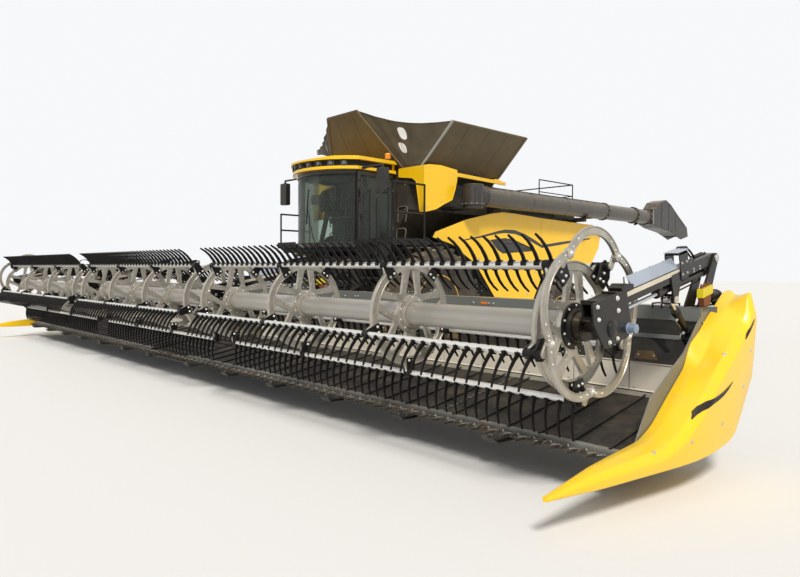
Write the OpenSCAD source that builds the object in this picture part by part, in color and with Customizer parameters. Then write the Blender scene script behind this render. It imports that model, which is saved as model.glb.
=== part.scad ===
/* [Overall] */
// Distance of the divider tips ahead of the reel axis
tip_reach = 800; // [700:10:950]
// Distance of the spout's end behind the reel axis
spout_reach = 13900; // [13500:10:14500]

/* [Header] */
// Cutting width between the two dividers
cut_w = 15200; // [14800:20:15600]
// Height of the knife above the ground
knife_z = 330; // [300:5:360]
// Distance of the knife behind the reel axis
knife_back = 150; // [120:5:200]
// Distance of the header's back frame behind the reel axis
back_dist = 1400; // [1380:5:1450]
// Depth of the box section of the back frame
beam_d = 170; // [140:5:200]
// Height of the top beam's upper face
beam_top_z = 1350; // [1320:5:1380]
// Height of a frame beam
beam_h = 120; // [100:5:140]
// Width of the crop passage in the middle of the back frame
mouth_w = 1320; // [1280:10:1340]
// Thickness of a draper deck
deck_t = 60; // [50:5:80]
// Height of the decks at the back frame
deck_rear_z = 560; // [540:5:580]
// Pitch of the knife guards
guard_pitch = 152.4; // [120:0.4:200]
// Thickness of a divider
divider_w = 300; // [240:10:340]

/* [Reel] */
// Height of the reel axis
reel_z = 1250; // [1230:5:1300]
// Radius of the circle that the bats lie on
bat_r = 530; // [500:5:550]
// Diameter of a bat tube
bat_d = 48; // [40:1:54]
// Diameter of the reel's centre tube
core_d = 205; // [180:1:220]
// Outer diameter of a spoked disc
disc_d = 930; // [880:5:960]
// Thickness of a spoked disc
disc_t = 30; // [20:1:40]
// Length of a tine along its bend
tine_l = 285; // [260:5:290]
// Spacing of the tines along a bat
tine_pitch = 110; // [95:1:160]
// Thickness of a tine
tine_t = 12; // [8:1:16]
// Distance of the reel's outer ends from the dividers
reel_end_gap = 200; // [180:5:230]
// Length of the middle reel section
middle_l = 4000; // [3900:10:4100]
// Width of the gap between two reel sections
reel_gap = 440; // [400:10:480]
// Width of a reel arm
arm_w = 90; // [70:5:110]
// Height of a reel arm
arm_h = 90; // [80:5:100]
// Tilt of the reel arms
arm_tilt = 11.5; // [11:0.1:12]
// Height of the reel arms' pivot
arm_pivot_z = 1760; // [1740:5:1780]
// Outer reach of the wavy ring at the reel's outer ends
ring_r = 600; // [590:5:620]

/* [Feeder house] */
// Width of the feeder house
feeder_w = 1380; // [1300:10:1420]
// Height of the feeder house across its slope
feeder_h = 620; // [560:10:680]
// Distance of the lifting pivot behind the reel axis
pivot_dist = 3500; // [3450:5:3550]
// Height of the lifting pivot
pivot_z = 1750; // [1730:5:1760]
// Radius of the pins in the cylinders' eyes
pin_r = 25; // [20:1:30]

/* [Wheels] */
// Distance of the front axle behind the reel axis
front_axle_dist = 4250; // [4200:10:4300]
// Distance between the axles
wheelbase = 4100; // [4000:10:4200]
// Outer diameter of a front tyre over its lugs
front_tyre_d = 2060; // [1980:10:2080]
// Width of a front tyre
front_tyre_w = 760; // [680:10:780]
// Rim diameter of a front wheel
front_rim_d = 1070; // [1000:10:1100]
// Distance of a front wheel's middle from the machine's centre line
front_wheel_x = 1600; // [1560:5:1640]
// Outer diameter of a rear tyre over its lugs
rear_tyre_d = 1490; // [1450:10:1520]
// Width of a rear tyre
rear_tyre_w = 590; // [540:10:600]
// Rim diameter of a rear wheel
rear_rim_d = 711; // [660:1:740]
// Distance of a rear wheel's middle from the centre line
rear_wheel_x = 1460; // [1450:5:1480]
// Distance of a kingpin from the centre line
kingpin_x = 1080; // [1060:5:1100]

/* [Body] */
// Width of the threshing body
body_w = 1440; // [1380:10:1460]
// Distance of the outer face of the side panels from the centre line
panel_x = 1650; // [1640:5:1670]
// Thickness of a side panel
panel_t = 40; // [30:1:45]
// Height of the deck that carries tank and engine
deck_z = 2150; // [2140:5:2170]
// Height of the grain tank's rim
tank_top_z = 3460; // [3440:5:3480]
// Wall thickness of the grain tank
tank_wall = 40; // [30:1:50]
// Height of the open tank covers
cover_top_z = 4240; // [4150:10:4300]
// Thickness of a tank cover
cover_t = 30; // [20:1:35]

/* [Cab] */
// Half width of the cab
cab_hw = 850; // [820:5:880]
// Height of the cab floor
cab_floor_z = 2100; // [2090:5:2120]
// Height of the roof's underside
roof_z = 3390; // [3370:5:3410]
// Thickness of the roof
roof_t = 230; // [220:5:250]
// Thickness of the cab glass
glass_t = 10; // [6:1:12]

/* [Unloading auger] */
// Radius of the unloading tube
auger_r = 185; // [180:1:188]
// Height of the unloading tube's axis
auger_z = 3030; // [3025:1:3040]
// Distance of the tube from the centre line
auger_x = 1830; // [1820:5:1850]

/* [Hidden] */
$fn = 48;

// Places along the machine, all from the reel axis
reel_y = (tip_reach - spout_reach) / 2;
knife_y = reel_y + knife_back;
back_y = reel_y + back_dist;
back_rear_y = back_y + beam_d;
pivot_y = reel_y + pivot_dist;
front_axle_y = reel_y + front_axle_dist;
rear_axle_y = front_axle_y + wheelbase;
body_front_y = pivot_y + 60;
body_rear_y = rear_axle_y + 900;

// Clearances
run_gap = 6;
seat_gap = 0.3;

// Header
half_cut = cut_w / 2;
deck_front_y = knife_y + 60;
deck_front_z = knife_z + 20;
guard_l = 110;
rail_low_z = deck_rear_z + 20;

// Reel: bats by angle from the rear, turning up, and the way that their tines point
bat_angles = [53, 125, 197, 269, 341];
tine_dirs = [-48, 135, 236, 268, 292];
tine_bend = 22;
inner_arm_x = middle_l / 2 + reel_gap / 2;
outer_x0 = middle_l / 2 + reel_gap;
outer_x1 = half_cut - reel_end_gap;
outer_l = outer_x1 - outer_x0;
outer_arm_x = outer_x1 + 75 + arm_w / 2;
arm_xs = [-outer_arm_x, -inner_arm_x, inner_arm_x, outer_arm_x];
journal_r = 35;
// Reel sections: low end, high end, offsets of the discs from the low end
outer_discs = [20, 1530, 3170, outer_l - 120];
middle_discs = [20, middle_l / 2 - 650, middle_l / 2 + 650, middle_l - 20];

// Reel arms: the pivot and the length from it
arm_pivot = [0, reel_y + 1730, arm_pivot_z];
arm_l = 1850;

// Cylinder pins: [y, z] on the part that carries the barrel and on the part that it moves
lift_p = [0, reel_y + 3750, 820];
lift_q = [0, reel_y + 2150, 560];
lift_x = 480;
reel_lift_p = [0, reel_y + 1360, 1100];
reel_lift_q = [0, reel_y + 1000, 1420];
eye_gap = 8;
run_fit = 0.05;

module both() {
    children();
    mirror([1, 0, 0]) children();
}

// A side outline, given as [y, z] points, as a slab of width w whose middle is at x
module slab(w, x = 0) {
    translate([x, 0, 0]) rotate([90, 0, 90]) linear_extrude(w, center = true) children();
}

// A box given by its lowest and highest corners
module box(lo, hi) {
    translate(lo) cube(hi - lo);
}

// A straight bar of radius r between two points
module bar(p, q, r) {
    v = q - p;
    l = norm(v);
    translate(p) rotate([0, acos(v[2] / l), atan2(v[1], v[0])]) cylinder(h = l, r = r);
}

// A cylinder along X whose middle is at p
module xcyl(p, l, r) {
    translate(p) rotate([0, 90, 0]) cylinder(h = l, r = r, center = true);
}

// A bent tube of radius r through points, with a ball at each bend
module tube_path(pts, r) {
    for (i = [0 : len(pts) - 2]) bar(pts[i], pts[i + 1], r);
    for (i = [1 : len(pts) - 2]) translate(pts[i]) sphere(r = r + 1, $fn = 24);
}

function polar(r, a) = [r * cos(a), r * sin(a)];

function heading(a, b) = atan2(b[1] - a[1], b[0] - a[0]);

function area2(p, i = 0) = i == len(p) ? 0
    : cross(p[i], p[(i + 1) % len(p)]) + area2(p, i + 1);

// The outline at distance r around a convex chain of points, in short straight steps
function round_about(p, r) = let (n = len(p), q = area2(p) < 0 ? [for (i = [1 : n]) p[n - i]] : p)
    [for (i = [0 : n - 1]) let (a = heading(q[(i + n - 1) % n], q[i]) - 90,
        b = heading(q[i], q[(i + 1) % n]) - 90, sweep = (b - a + 720) % 360,
        steps = ceil(sweep / 30)) for (k = [0 : steps]) q[i] + polar(r, a + sweep * k / steps)];

module rounded(pts, r) {
    polygon(round_about(pts, r));
}

// WHEELS

lug_h = 45;

module tyre(d, w, rim_d, lugs) {
    r = d / 2 - lug_h;
    rr = rim_d / 2;
    h = r - rr;
    side = w / 2;
    rotate([0, 90, 0]) rotate_extrude($fn = 96)
        polygon([[rr, -side * 0.78], [rr + h * 0.35, -side * 0.97], [rr + h * 0.7, -side],
            [r - 25, -side * 0.92], [r, -side * 0.7], [r, side * 0.7], [r - 25, side * 0.92],
            [rr + h * 0.7, side], [rr + h * 0.35, side * 0.97], [rr, side * 0.78]]);
    step = 360 / lugs;
    intersection() {
        rotate([0, 90, 0]) cylinder(h = w, r = d / 2, center = true, $fn = 96);
        for (s = [-1, 1], i = [0 : lugs - 1])
            rotate([(i + (s > 0 ? 0.5 : 0)) * step, 0, 0]) translate([0, 0, -d / 2 - 20])
                linear_extrude(lug_h + 60)
                    polygon([[-s * 12, -34], [-s * 12, 34], [s * side * 0.45, 125],
                        [s * side * 0.95, 185], [s * side * 0.95, 105], [s * side * 0.5, 50]]);
    }
}

// Rim: a drum with flanges, a dished disc with hand holes and a hub with its bore
module rim(d, w, disc_x, hub_r, axle_r) {
    r = d / 2 - seat_gap;
    rotate([0, 90, 0]) rotate_extrude($fn = 96)
        polygon([[r - 45, -w * 0.28], [r - 14, -w / 2 + 30], [r - 14, -w / 2], [r, -w / 2],
            [r, w / 2], [r - 14, w / 2], [r - 14, w / 2 - 30], [r - 45, w * 0.28]]);
    translate([disc_x, 0, 0]) rotate([0, 90, 0]) difference() {
        union() {
            cylinder(h = 24, r = r - 20, center = true, $fn = 96);
            cylinder(h = 110, r = hub_r, center = true);
        }
        for (a = [0 : 45 : 359]) rotate(a) translate([(r + hub_r) / 2 - 15, 0, 0])
            cylinder(h = 40, r = (r - hub_r) * 0.26, center = true);
        cylinder(h = 120, r = axle_r + run_fit, center = true);
    }
}

front_disc_x = 60;
rear_disc_x = 40;
front_stub_r = 75;
rear_stub_r = 45;

module front_tyre(s) {
    color("#222222") translate([s * front_wheel_x, front_axle_y, front_tyre_d / 2])
        tyre(front_tyre_d, front_tyre_w, front_rim_d, 22);
}

module front_rim(s) {
    color("gold") translate([s * front_wheel_x, front_axle_y, front_tyre_d / 2])
        rim(front_rim_d, front_tyre_w * 0.78, s * front_disc_x, 190, front_stub_r);
}

module rear_tyre(s) {
    color("#222222") translate([s * rear_wheel_x, rear_axle_y, rear_tyre_d / 2])
        tyre(rear_tyre_d, rear_tyre_w, rear_rim_d, 20);
}

module rear_rim(s) {
    color("gold") translate([s * rear_wheel_x, rear_axle_y, rear_tyre_d / 2])
        rim(rear_rim_d, rear_tyre_w * 0.78, s * rear_disc_x, 130, rear_stub_r);
}

// Front axle: gearbox beam, final drives, stub shafts and the ears of the lift cylinders
module front_axle() {
    z = front_tyre_d / 2;
    hub_in = front_wheel_x + front_disc_x - 55 - run_gap;
    color("#333333") {
        box([-hub_in + 260, front_axle_y - 150, z - 150], [hub_in - 260, front_axle_y + 150, z + 150]);
        translate([0, front_axle_y, z]) rotate([90, 0, 0])
            cylinder(h = 460, r = 149, center = true);
        both() xcyl([hub_in - 135, front_axle_y, z], 270, 230);
        both() xcyl([hub_in + 30, front_axle_y, z], 150, front_stub_r);
        both() lift_ears(lift_x, lift_p, [[front_axle_y - 140, z - 140], [front_axle_y - 140, z + 60]]);
    }
}

// Two ears that hold a pin at p, reaching from two [y, z] points of what carries them
ear_t = 16;
eye_w = 70;

module lift_ears(x, p, base) {
    for (s = [-1, 1]) slab(ear_t, x + s * (eye_w / 2 + 3 + ear_t / 2)) {
        rounded([base[0], base[1], [p[1], p[2]]], 30);
    }
    xcyl([x, p[1], p[2]], eye_w + 2 * ear_t + 2, pin_r);
}

// Rear axle with the towing jaw behind it
hitch_y = rear_axle_y + 1600;
hitch_z = 600;

module rear_axle() {
    z = rear_tyre_d / 2;
    color("#333333") difference() {
        union() {
            slab(kingpin_x * 2 - 180) polygon([[rear_axle_y - 90, z - 75],
                [rear_axle_y + 90, z - 75], [rear_axle_y + 90, z + 75], [rear_axle_y - 90, z + 75]]);
            slab(240) polygon([[rear_axle_y - 160, z + 330], [rear_axle_y + 160, z + 330],
                [rear_axle_y + 90, z + 70], [rear_axle_y - 90, z + 70]]);
            both() for (dz = [-130, 100]) translate([0, 0, z + dz]) linear_extrude(30)
                rounded([[kingpin_x - 160, rear_axle_y], [kingpin_x, rear_axle_y]], 75);
            both() box([kingpin_x - 200, rear_axle_y - 75, z - 130],
                [kingpin_x - 100, rear_axle_y + 75, z + 130]);
            box([-45, rear_axle_y - 60, hitch_z - 50], [45, hitch_y - 90, hitch_z + 50]);
            for (dz = [-50, 30]) translate([0, 0, hitch_z + dz]) linear_extrude(20)
                rounded([[0, hitch_y - 100], [0, hitch_y]], 45);
            box([-80, rear_axle_y - 60, hitch_z - 50], [80, rear_axle_y + 60, z - 74]);
        }
        translate([0, hitch_y, hitch_z - 60]) cylinder(h = 120, r = 16);
        both() translate([kingpin_x, rear_axle_y, z - 200])
            cylinder(h = 400, r = 35 + run_fit);
    }
}

// Steering knuckle: kingpin, its boss between the axle's ears, and the stub shaft
module knuckle(s) {
    z = rear_tyre_d / 2;
    hub_in = rear_wheel_x + rear_disc_x - 55 - run_gap;
    color("#333333") {
        translate([s * kingpin_x, rear_axle_y, z - 150]) cylinder(h = 300, r = 35);
        translate([s * kingpin_x, rear_axle_y, z - 99]) cylinder(h = 198, r = 65);
        xcyl([s * (kingpin_x + hub_in) / 2, rear_axle_y, z], hub_in - kingpin_x, 60);
        xcyl([s * (hub_in + 50), rear_axle_y, z], 120, rear_stub_r);
    }
}

// CHASSIS AND BODY

rail_z0 = front_tyre_d / 2 + 165;
rail_z1 = rail_z0 + 150;
body_low_z = front_tyre_d / 2 - 330;
cab_base_z = 1900;
trunnion_r = 60;

module chassis_frame() {
    z = rear_tyre_d / 2;
    out = body_w / 2 + 80;
    color("#2b2b2b") {
        both() {
            box([body_w / 2 + seat_gap, body_front_y - 100, rail_z0], [out, body_rear_y, rail_z1]);
            difference() {
                slab(out - feeder_w / 2 - run_gap, (out + feeder_w / 2 + run_gap) / 2) polygon([
                    [pivot_y - 90, pivot_z + 90], [body_front_y - 1, pivot_z + 90],
                    [body_front_y - 1, rail_z0], [body_front_y - 99, rail_z0],
                    [pivot_y - 90, pivot_z - 90]]);
                xcyl([out - 60, pivot_y, pivot_z], 500, trunnion_r + run_fit);
            }
        }
        for (y = [body_front_y + 20, front_axle_y - 100])
            box([-out, y, front_tyre_d / 2 + 150 + seat_gap], [out, y + 200, rail_z0 + 1]);
        box([-out, rear_axle_y - 160, z + 330 + seat_gap], [out, rear_axle_y + 160, rail_z0 + 1]);
    }
}

module threshing_body() {
    top = deck_z - 40 - seat_gap;
    low = rail_z0 + seat_gap * 4;
    color("#3a3a3a") slab(body_w) polygon([[body_front_y, low],
        [body_front_y, cab_base_z], [tank_front_y, cab_base_z], [tank_front_y, top],
        [body_rear_y, top], [body_rear_y, 1350], [rear_axle_y - 400, low],
        [rear_axle_y - 800, body_low_z], [front_axle_y + 600, body_low_z],
        [front_axle_y + 300, low]]);
}

// Deck over the threshing body, with the posts and pins that the side panels hang on
panel_pivot_x = panel_x - 75;
panel_pivot_z = 2765;
hinge_ys = [front_axle_y + 2000, front_axle_y + 3150];

module service_deck() {
    color("#2b2b2b") {
        box([-panel_pivot_x + 30, tank_front_y, deck_z - 40],
            [panel_pivot_x - 30, body_rear_y, deck_z]);
        both() for (y = hinge_ys) {
            slab(90, panel_pivot_x - 45) polygon([[y, deck_z - 1], [y + 40, deck_z - 1],
                [y + 40, panel_pivot_z + 20], [y, panel_pivot_z + 20]]);
            translate([panel_pivot_x, y + 1, panel_pivot_z]) rotate([90, 0, 0])
                cylinder(h = 41, r = 12);
            box([panel_pivot_x - 20, y, panel_pivot_z - 20], [panel_pivot_x + 15, y + 40,
                panel_pivot_z + 20]);
        }
    }
}

// Side panels: the front one is hinged along its top edge, the rear one is fixed
split_y = front_axle_y + 3370;
panel_top_z = 2800;

stripe_d = 10;
louvre_d = 28;

// The pressed stripe that arches over the louvre and runs on to the rear, and the louvre
module stripe() {
    y = front_axle_y;
    polygon([[y + 863, 2207], [y + 1377, 2302], [y + 1921, 2422], [y + 2141, 2462],
        [y + 2465, 2467], [y + 2802, 2401], [y + 3152, 2290], [y + 3404, 2193],
        [y + 4075, 2279], [y + 5297, 2414], [y + 5299, 2385], [y + 4077, 2214],
        [y + 3405, 2129], [y + 3154, 2205], [y + 2804, 2318], [y + 2467, 2386],
        [y + 2142, 2393], [y + 1922, 2367], [y + 1378, 2268], [y + 864, 2189]]);
}

module louvre() {
    y = front_axle_y;
    polygon([[y + 1677, 2240], [y + 2144, 2293], [y + 2469, 2265], [y + 2979, 2138],
        [y + 3120, 2058], [y + 2912, 2040], [y + 2474, 2010], [y + 2086, 1980],
        [y + 1927, 2040]]);
}

module side_panel(s) {
    in_x = panel_x - panel_t;
    color("gold") {
        difference() {
            slab(panel_t, s * (panel_x - panel_t / 2)) polygon([
                [front_axle_y + 90, 2230], [front_axle_y + 160, 2330],
                [front_axle_y + 1000, 2600], [front_axle_y + 1700, 2750],
                [front_axle_y + 2070, panel_top_z], [front_axle_y + 2430, panel_top_z],
                [split_y - 8, 2760], [split_y - 8, 1450], [split_y - 280, 1000],
                [front_axle_y + 1950, 1000], [front_axle_y + 1270, 1760], [front_axle_y + 600, 2120]]);
            slab(2 * stripe_d, s * panel_x) stripe();
            slab(2 * louvre_d, s * panel_x) louvre();
        }
        for (z = [2030 : 46 : 2260]) intersection() {
            slab(louvre_d - 8, s * (panel_x - louvre_d / 2 - 6)) louvre();
            box([-panel_x, front_axle_y, z], [panel_x, split_y, z + 14]);
        }
        for (y = hinge_ys) difference() {
            slab(in_x - panel_pivot_x + 21, s * (in_x + panel_pivot_x - 19) / 2)
                polygon([[y - 28, panel_pivot_z - 60], [y - 2, panel_pivot_z - 60],
                    [y - 2, panel_pivot_z + 18], [y - 28, panel_pivot_z + 18]]);
            translate([s * panel_pivot_x, y, panel_pivot_z]) rotate([90, 0, 0])
                cylinder(h = 60, r = 12 + run_fit);
        }
    }
}

module fixed_panels() {
    low_x = panel_pivot_x - 30 + seat_gap;
    color("gold") both() {
        difference() {
            slab(panel_t, panel_x - panel_t / 2) polygon([[split_y, 2760], [split_y + 1090, 2738],
                [split_y + 2010, 2719], [split_y + 2230, 2680], [split_y + 2360, 2570],
                [split_y + 2367, 2430], [split_y + 2300, 2180], [split_y + 2000, 1820],
                [split_y + 300, 1650], [split_y, 1560]]);
            slab(2 * stripe_d, panel_x) stripe();
        }
        box([low_x, split_y + 100, deck_z - 40], [panel_x - panel_t + 1, body_rear_y - 100, deck_z]);
    }
}

module tank_cheeks() {
    y0 = tank_front_y - 60;
    z1 = tank_top_z + 30;
    t = 40;
    color("gold") both() {
        slab(t, panel_x - t / 2) polygon([[y0, z1], [y0 + 120, z1 + 25], [y0 + 420, z1 + 40],
            [y0 + 850, z1], [y0 + 850, z1 - 185], [y0 + 800, z1 - 370], [y0 + 720, z1 - 560],
            [y0 + 510, z1 - 650], [y0 + 300, z1 - 755], [y0 + 100, z1 - 800], [y0, z1 - 820]]);
        translate([0, y0 + t, 0]) rotate([90, 0, 0]) linear_extrude(t)
            polygon([[980, z1], [panel_x - 1, z1], [panel_x - 1, z1 - 820],
                [panel_x - 100, z1 - 820], [panel_x - 180, z1 - 430], [panel_x - 210, z1 - 265],
                [panel_x - 310, z1 - 200], [980, z1 - 150]]);
        slab(t, panel_x - t / 2) polygon([[y0 + 849, z1 - 50], [tank_rear_y, z1 - 90],
            [tank_rear_y, z1 - 150], [y0 + 849, z1 - 120]]);
        for (y = [y0 + 500, tank_rear_y - 100]) translate([0, y, tank_top_z]) rotate([90, 0, 0])
            linear_extrude(200) polygon([[tank_hw - 119, -60], [tank_hw - 39, -20],
                [panel_x - t + 1, -20], [panel_x - t + 1, -60]]);
    }
}

module engine_block() {
    y = rear_axle_y - 300;
    color("#4a4a4a") box([-420, y - 600, deck_z + seat_gap], [420, y + 600, deck_z + 850]);
}

module engine_hood() {
    y0 = tank_rear_y + 60;
    y1 = body_rear_y;
    t = 30;
    hw = 1480;
    z1 = deck_z + 1000;
    color("#33332f") difference() {
        slab(2 * hw) polygon([[y0, deck_z + seat_gap], [y1, deck_z + seat_gap], [y1, z1 - 350],
            [y1 - 450, z1], [y0, z1]]);
        slab(2 * hw - 2 * t) polygon([[y0 + t, deck_z - 1], [y1 - t, deck_z - 1],
            [y1 - t, z1 - 350 - t], [y1 - 450 - t / 2, z1 - t], [y0 + t, z1 - t]]);
    }
}

tank_front_y = front_axle_y - 80;
tank_rear_y = front_axle_y + 2150;
tank_hw = 1500;
tank_in_hw = 1180;
flare_z = tank_top_z - 160;

module tank_outline(d) {
    top = d > 0 ? 1 : 0;
    polygon([[-tank_hw + d, tank_top_z + top], [tank_hw - d, tank_top_z + top],
        [tank_in_hw - d, flare_z], [tank_in_hw - d, deck_z + 600], [body_w / 2 - d, deck_z + d + seat_gap],
        [-body_w / 2 + d, deck_z + d + seat_gap], [-tank_in_hw + d, deck_z + 600],
        [-tank_in_hw + d, flare_z]]);
}

module grain_tank() {
    color("#3c3c34") difference() {
        translate([0, tank_rear_y, 0]) rotate([90, 0, 0])
            linear_extrude(tank_rear_y - tank_front_y) tank_outline(0);
        translate([0, tank_rear_y - tank_wall, 0]) rotate([90, 0, 0])
            linear_extrude(tank_rear_y - tank_front_y - 2 * tank_wall) tank_outline(tank_wall);
    }
}

// Open covers: reach out of the side ones, of the front and rear ones, and their shapes
side_out = 540;
side_shift = 230;
side_rise = cover_top_z - tank_top_z;
end_out = 650;
end_rise = cover_top_z - tank_top_z + 300;
end_base = 1050;
end_top = 450;
tank_mid_y = (tank_front_y + tank_rear_y) / 2;
tank_hl = (tank_rear_y - tank_front_y) / 2;
cover_z = tank_top_z + 20 + seat_gap;

// The flaps stand in a frame at the middle of their hinge, where +Y is outwards
module at_side_hinge() {
    translate([tank_hw - 30, 0, cover_z]) rotate([0, 0, -90]) mirror([0, 1, 0])
        rotate([0, 0, 180]) children();
}

module at_end_hinge() {
    translate([0, 30 - tank_hl, cover_z]) mirror([0, 1, 0]) children();
}

module flap(base, top, shift, out, rise) {
    xcyl([0, 0, 0], 2 * base, 20);
    rotate([90 - atan(out / rise), 0, 0]) linear_extrude(cover_t, center = true)
        polygon([[-base, 0], [base, 0], [top + shift, norm([out, rise])],
            [-top + shift, norm([out, rise])]]);
}

// All that lies outside a flap's inner face
module behind_flap(out, rise) {
    rotate([90 - atan(out / rise), 0, 0])
        box([-3000, -200, -400], [3000, 3000, cover_t / 2 + seat_gap]);
}

module tank_covers() {
    color("#3c3c34") translate([0, tank_mid_y, 0]) {
        both() at_side_hinge() flap(tank_hl - 30, tank_hl - 40, side_shift, side_out, side_rise);
        for (s = [0, 1]) mirror([0, s, 0]) at_end_hinge()
            flap(end_base, end_top, 0, end_out, end_rise);
    }
}

// Canvas corners between a side cover and an end cover, with a sagging hem
function on_end_flap(h) = [end_base - 40 - (end_base - end_top) * h / end_rise,
    30 - tank_hl - h * end_out / end_rise + cover_t / 2, cover_z + h];
function on_side_flap(h) = [tank_hw - 30 + h * side_out / side_rise - cover_t / 2,
    70 - tank_hl + side_shift * h / side_rise, cover_z + h];

module tank_gussets() {
    t = 6;
    n = 4;
    m = n + 1;
    foot = [for (i = [0 : n]) on_end_flap(40) * (1 - i / n) + on_side_flap(40) * i / n];
    hem = [for (i = [0 : n]) on_end_flap(end_rise - 20) * (1 - i / n)
        + on_side_flap(side_rise - 20) * i / n - [0, 0, 120 * sin(180 * i / n)]];
    pts = concat(foot, hem, [for (p = foot) p + [0, t, 0]], [for (p = hem) p + [0, t, 0]]);
    faces = concat(
        [for (i = [0 : n - 1]) each [[i, i + 1, m + i + 1], [i, m + i + 1, m + i],
            [2 * m + i, 3 * m + i + 1, 2 * m + i + 1], [2 * m + i, 3 * m + i, 3 * m + i + 1],
            [i, 2 * m + i + 1, i + 1], [i, 2 * m + i, 2 * m + i + 1],
            [m + i, m + i + 1, 3 * m + i + 1], [m + i, 3 * m + i + 1, 3 * m + i]]],
        [[0, m, 3 * m], [0, 3 * m, 2 * m],
            [n, 3 * m + n, m + n], [n, 2 * m + n, 3 * m + n]]);
    color("#35352d") translate([0, tank_mid_y, 0]) both()
        for (s = [0, 1]) mirror([0, s, 0]) difference() {
            polyhedron(pts, faces);
            at_end_hinge() behind_flap(end_out, end_rise);
            at_side_hinge() behind_flap(side_out, side_rise);
        }
}

module straw_hood() {
    y0 = body_rear_y + seat_gap;
    color("gold") slab(body_w + 200) polygon([[y0, deck_z - 60], [y0 + 600, deck_z - 100],
        [y0 + 930, 1900], [y0 + 880, 1250], [y0 + 520, 900], [y0 + 150, 900], [y0, 1350]]);
    color("#2b2b2b") both() translate([420, y0 + 480, 720]) cylinder(h = 181, r = 60);
    color("#2b2b2b") both() translate([420, y0 + 480, 660]) cylinder(h = 70, r = 330);
}

// CAB

cab_rear_y = front_axle_y - 150;
cab_side_y = front_axle_y - 1030;
cab_nose_y = front_axle_y - 1450;
cab_bow = cab_side_y - cab_nose_y;
cab_arc_r = (pow(cab_hw, 2) + pow(cab_bow, 2)) / (2 * cab_bow);
pillar = 70;

// Plan of the cab, grown outwards by d
module cab_plan(d) {
    intersection() {
        translate([-cab_hw - d, cab_nose_y - d])
            square([2 * (cab_hw + d), cab_rear_y - cab_nose_y + 2 * d]);
        union() {
            translate([0, cab_nose_y + cab_arc_r]) circle(r = cab_arc_r + d, $fn = 128);
            translate([-cab_hw - d, cab_side_y])
                square([2 * (cab_hw + d), cab_rear_y - cab_side_y + d]);
        }
    }
}

module cab_ring(z, h, out, inn) {
    translate([0, 0, z]) linear_extrude(h) difference() {
        cab_plan(out);
        cab_plan(inn);
    }
}

module cab_frame() {
    color("#2a2a2a") {
        translate([0, 0, cab_floor_z - 60]) linear_extrude(60) cab_plan(0);
        cab_ring(roof_z - 60, 60, 0, -pillar);
        both() for (y = [[cab_side_y - 20, cab_side_y + 60], [cab_rear_y - 90, cab_rear_y]])
            box([cab_hw - pillar, y[0], cab_floor_z - 1], [cab_hw, y[1], roof_z - 59]);
        difference() {
            box([-cab_hw + 1, cab_rear_y - 40, cab_floor_z - 1],
                [cab_hw - 1, cab_rear_y - 1, roof_z - 1]);
            box([-cab_hw + 120, cab_rear_y - 60, cab_floor_z + 700],
                [cab_hw - 120, cab_rear_y + 20, roof_z - 120]);
        }
        for (x = [-500, 500]) box([x - 60, body_front_y + 30, cab_base_z + seat_gap],
            [x + 60, cab_rear_y, cab_floor_z - 59]);
        both() for (z = door_hinge_zs) {
            box([cab_hw - 50, cab_rear_y - 1, z], [cab_hw - 5, door_pin[1] + 14, z + 20]);
            translate([0, 0, z]) linear_extrude(20) rounded([[cab_hw - 30, door_pin[1]], door_pin], 14);
            translate([door_pin[0], door_pin[1], z]) cylinder(h = 62, r = 10);
        }
    }
}

module cab_roof() {
    y1 = cab_rear_y - 20;
    z1 = roof_z + roof_t;
    color("gold") intersection() {
        union() {
            translate([0, 0, roof_z + seat_gap]) linear_extrude(60) cab_plan(95);
            translate([0, 0, roof_z + 59]) linear_extrude(roof_t - 60) cab_plan(50);
            translate([0, 0, z1 - 62]) linear_extrude(62) cab_plan(130);
        }
        slab(2 * cab_hw + 400) polygon([[cab_nose_y - 200, roof_z], [cab_nose_y - 200, z1 - 40],
            [cab_nose_y + 60, z1], [y1 - 70, z1], [y1, z1 - 60], [y1, roof_z]]);
    }
}

// Windshield between the front pillars, and the panes of the right side and the rear
module cab_glass() {
    z0 = cab_floor_z + seat_gap;
    z1 = roof_z - 60 - seat_gap;
    color("lightblue", 0.4) {
        difference() {
            cab_ring(z0, z1 - z0, -4, -4 - glass_t);
            box([-cab_hw - 10, cab_side_y - 20 - seat_gap, 0], [cab_hw + 10, cab_rear_y + 10, 5000]);
        }
        box([-cab_hw + 20, cab_side_y + 60 + seat_gap, z0],
            [-cab_hw + 20 + glass_t, cab_rear_y - 90 - seat_gap, z1]);
        box([-cab_hw + 120 + seat_gap, cab_rear_y - 25, cab_floor_z + 700 + seat_gap],
            [cab_hw - 120 - seat_gap, cab_rear_y - 25 + glass_t, roof_z - 120 - seat_gap]);
    }
}

// Seat as two cushions on a pedestal
module cab_seat() {
    y = cab_rear_y - 180;
    z = cab_floor_z + 400;
    color("#222222") {
        box([-260, y - 520, z], [260, y - 20, z + 130]);
        translate([0, y - 20, z + 60]) rotate([-8, 0, 0]) box([-250, -120, 0], [250, 0, 720]);
    }
}

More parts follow.
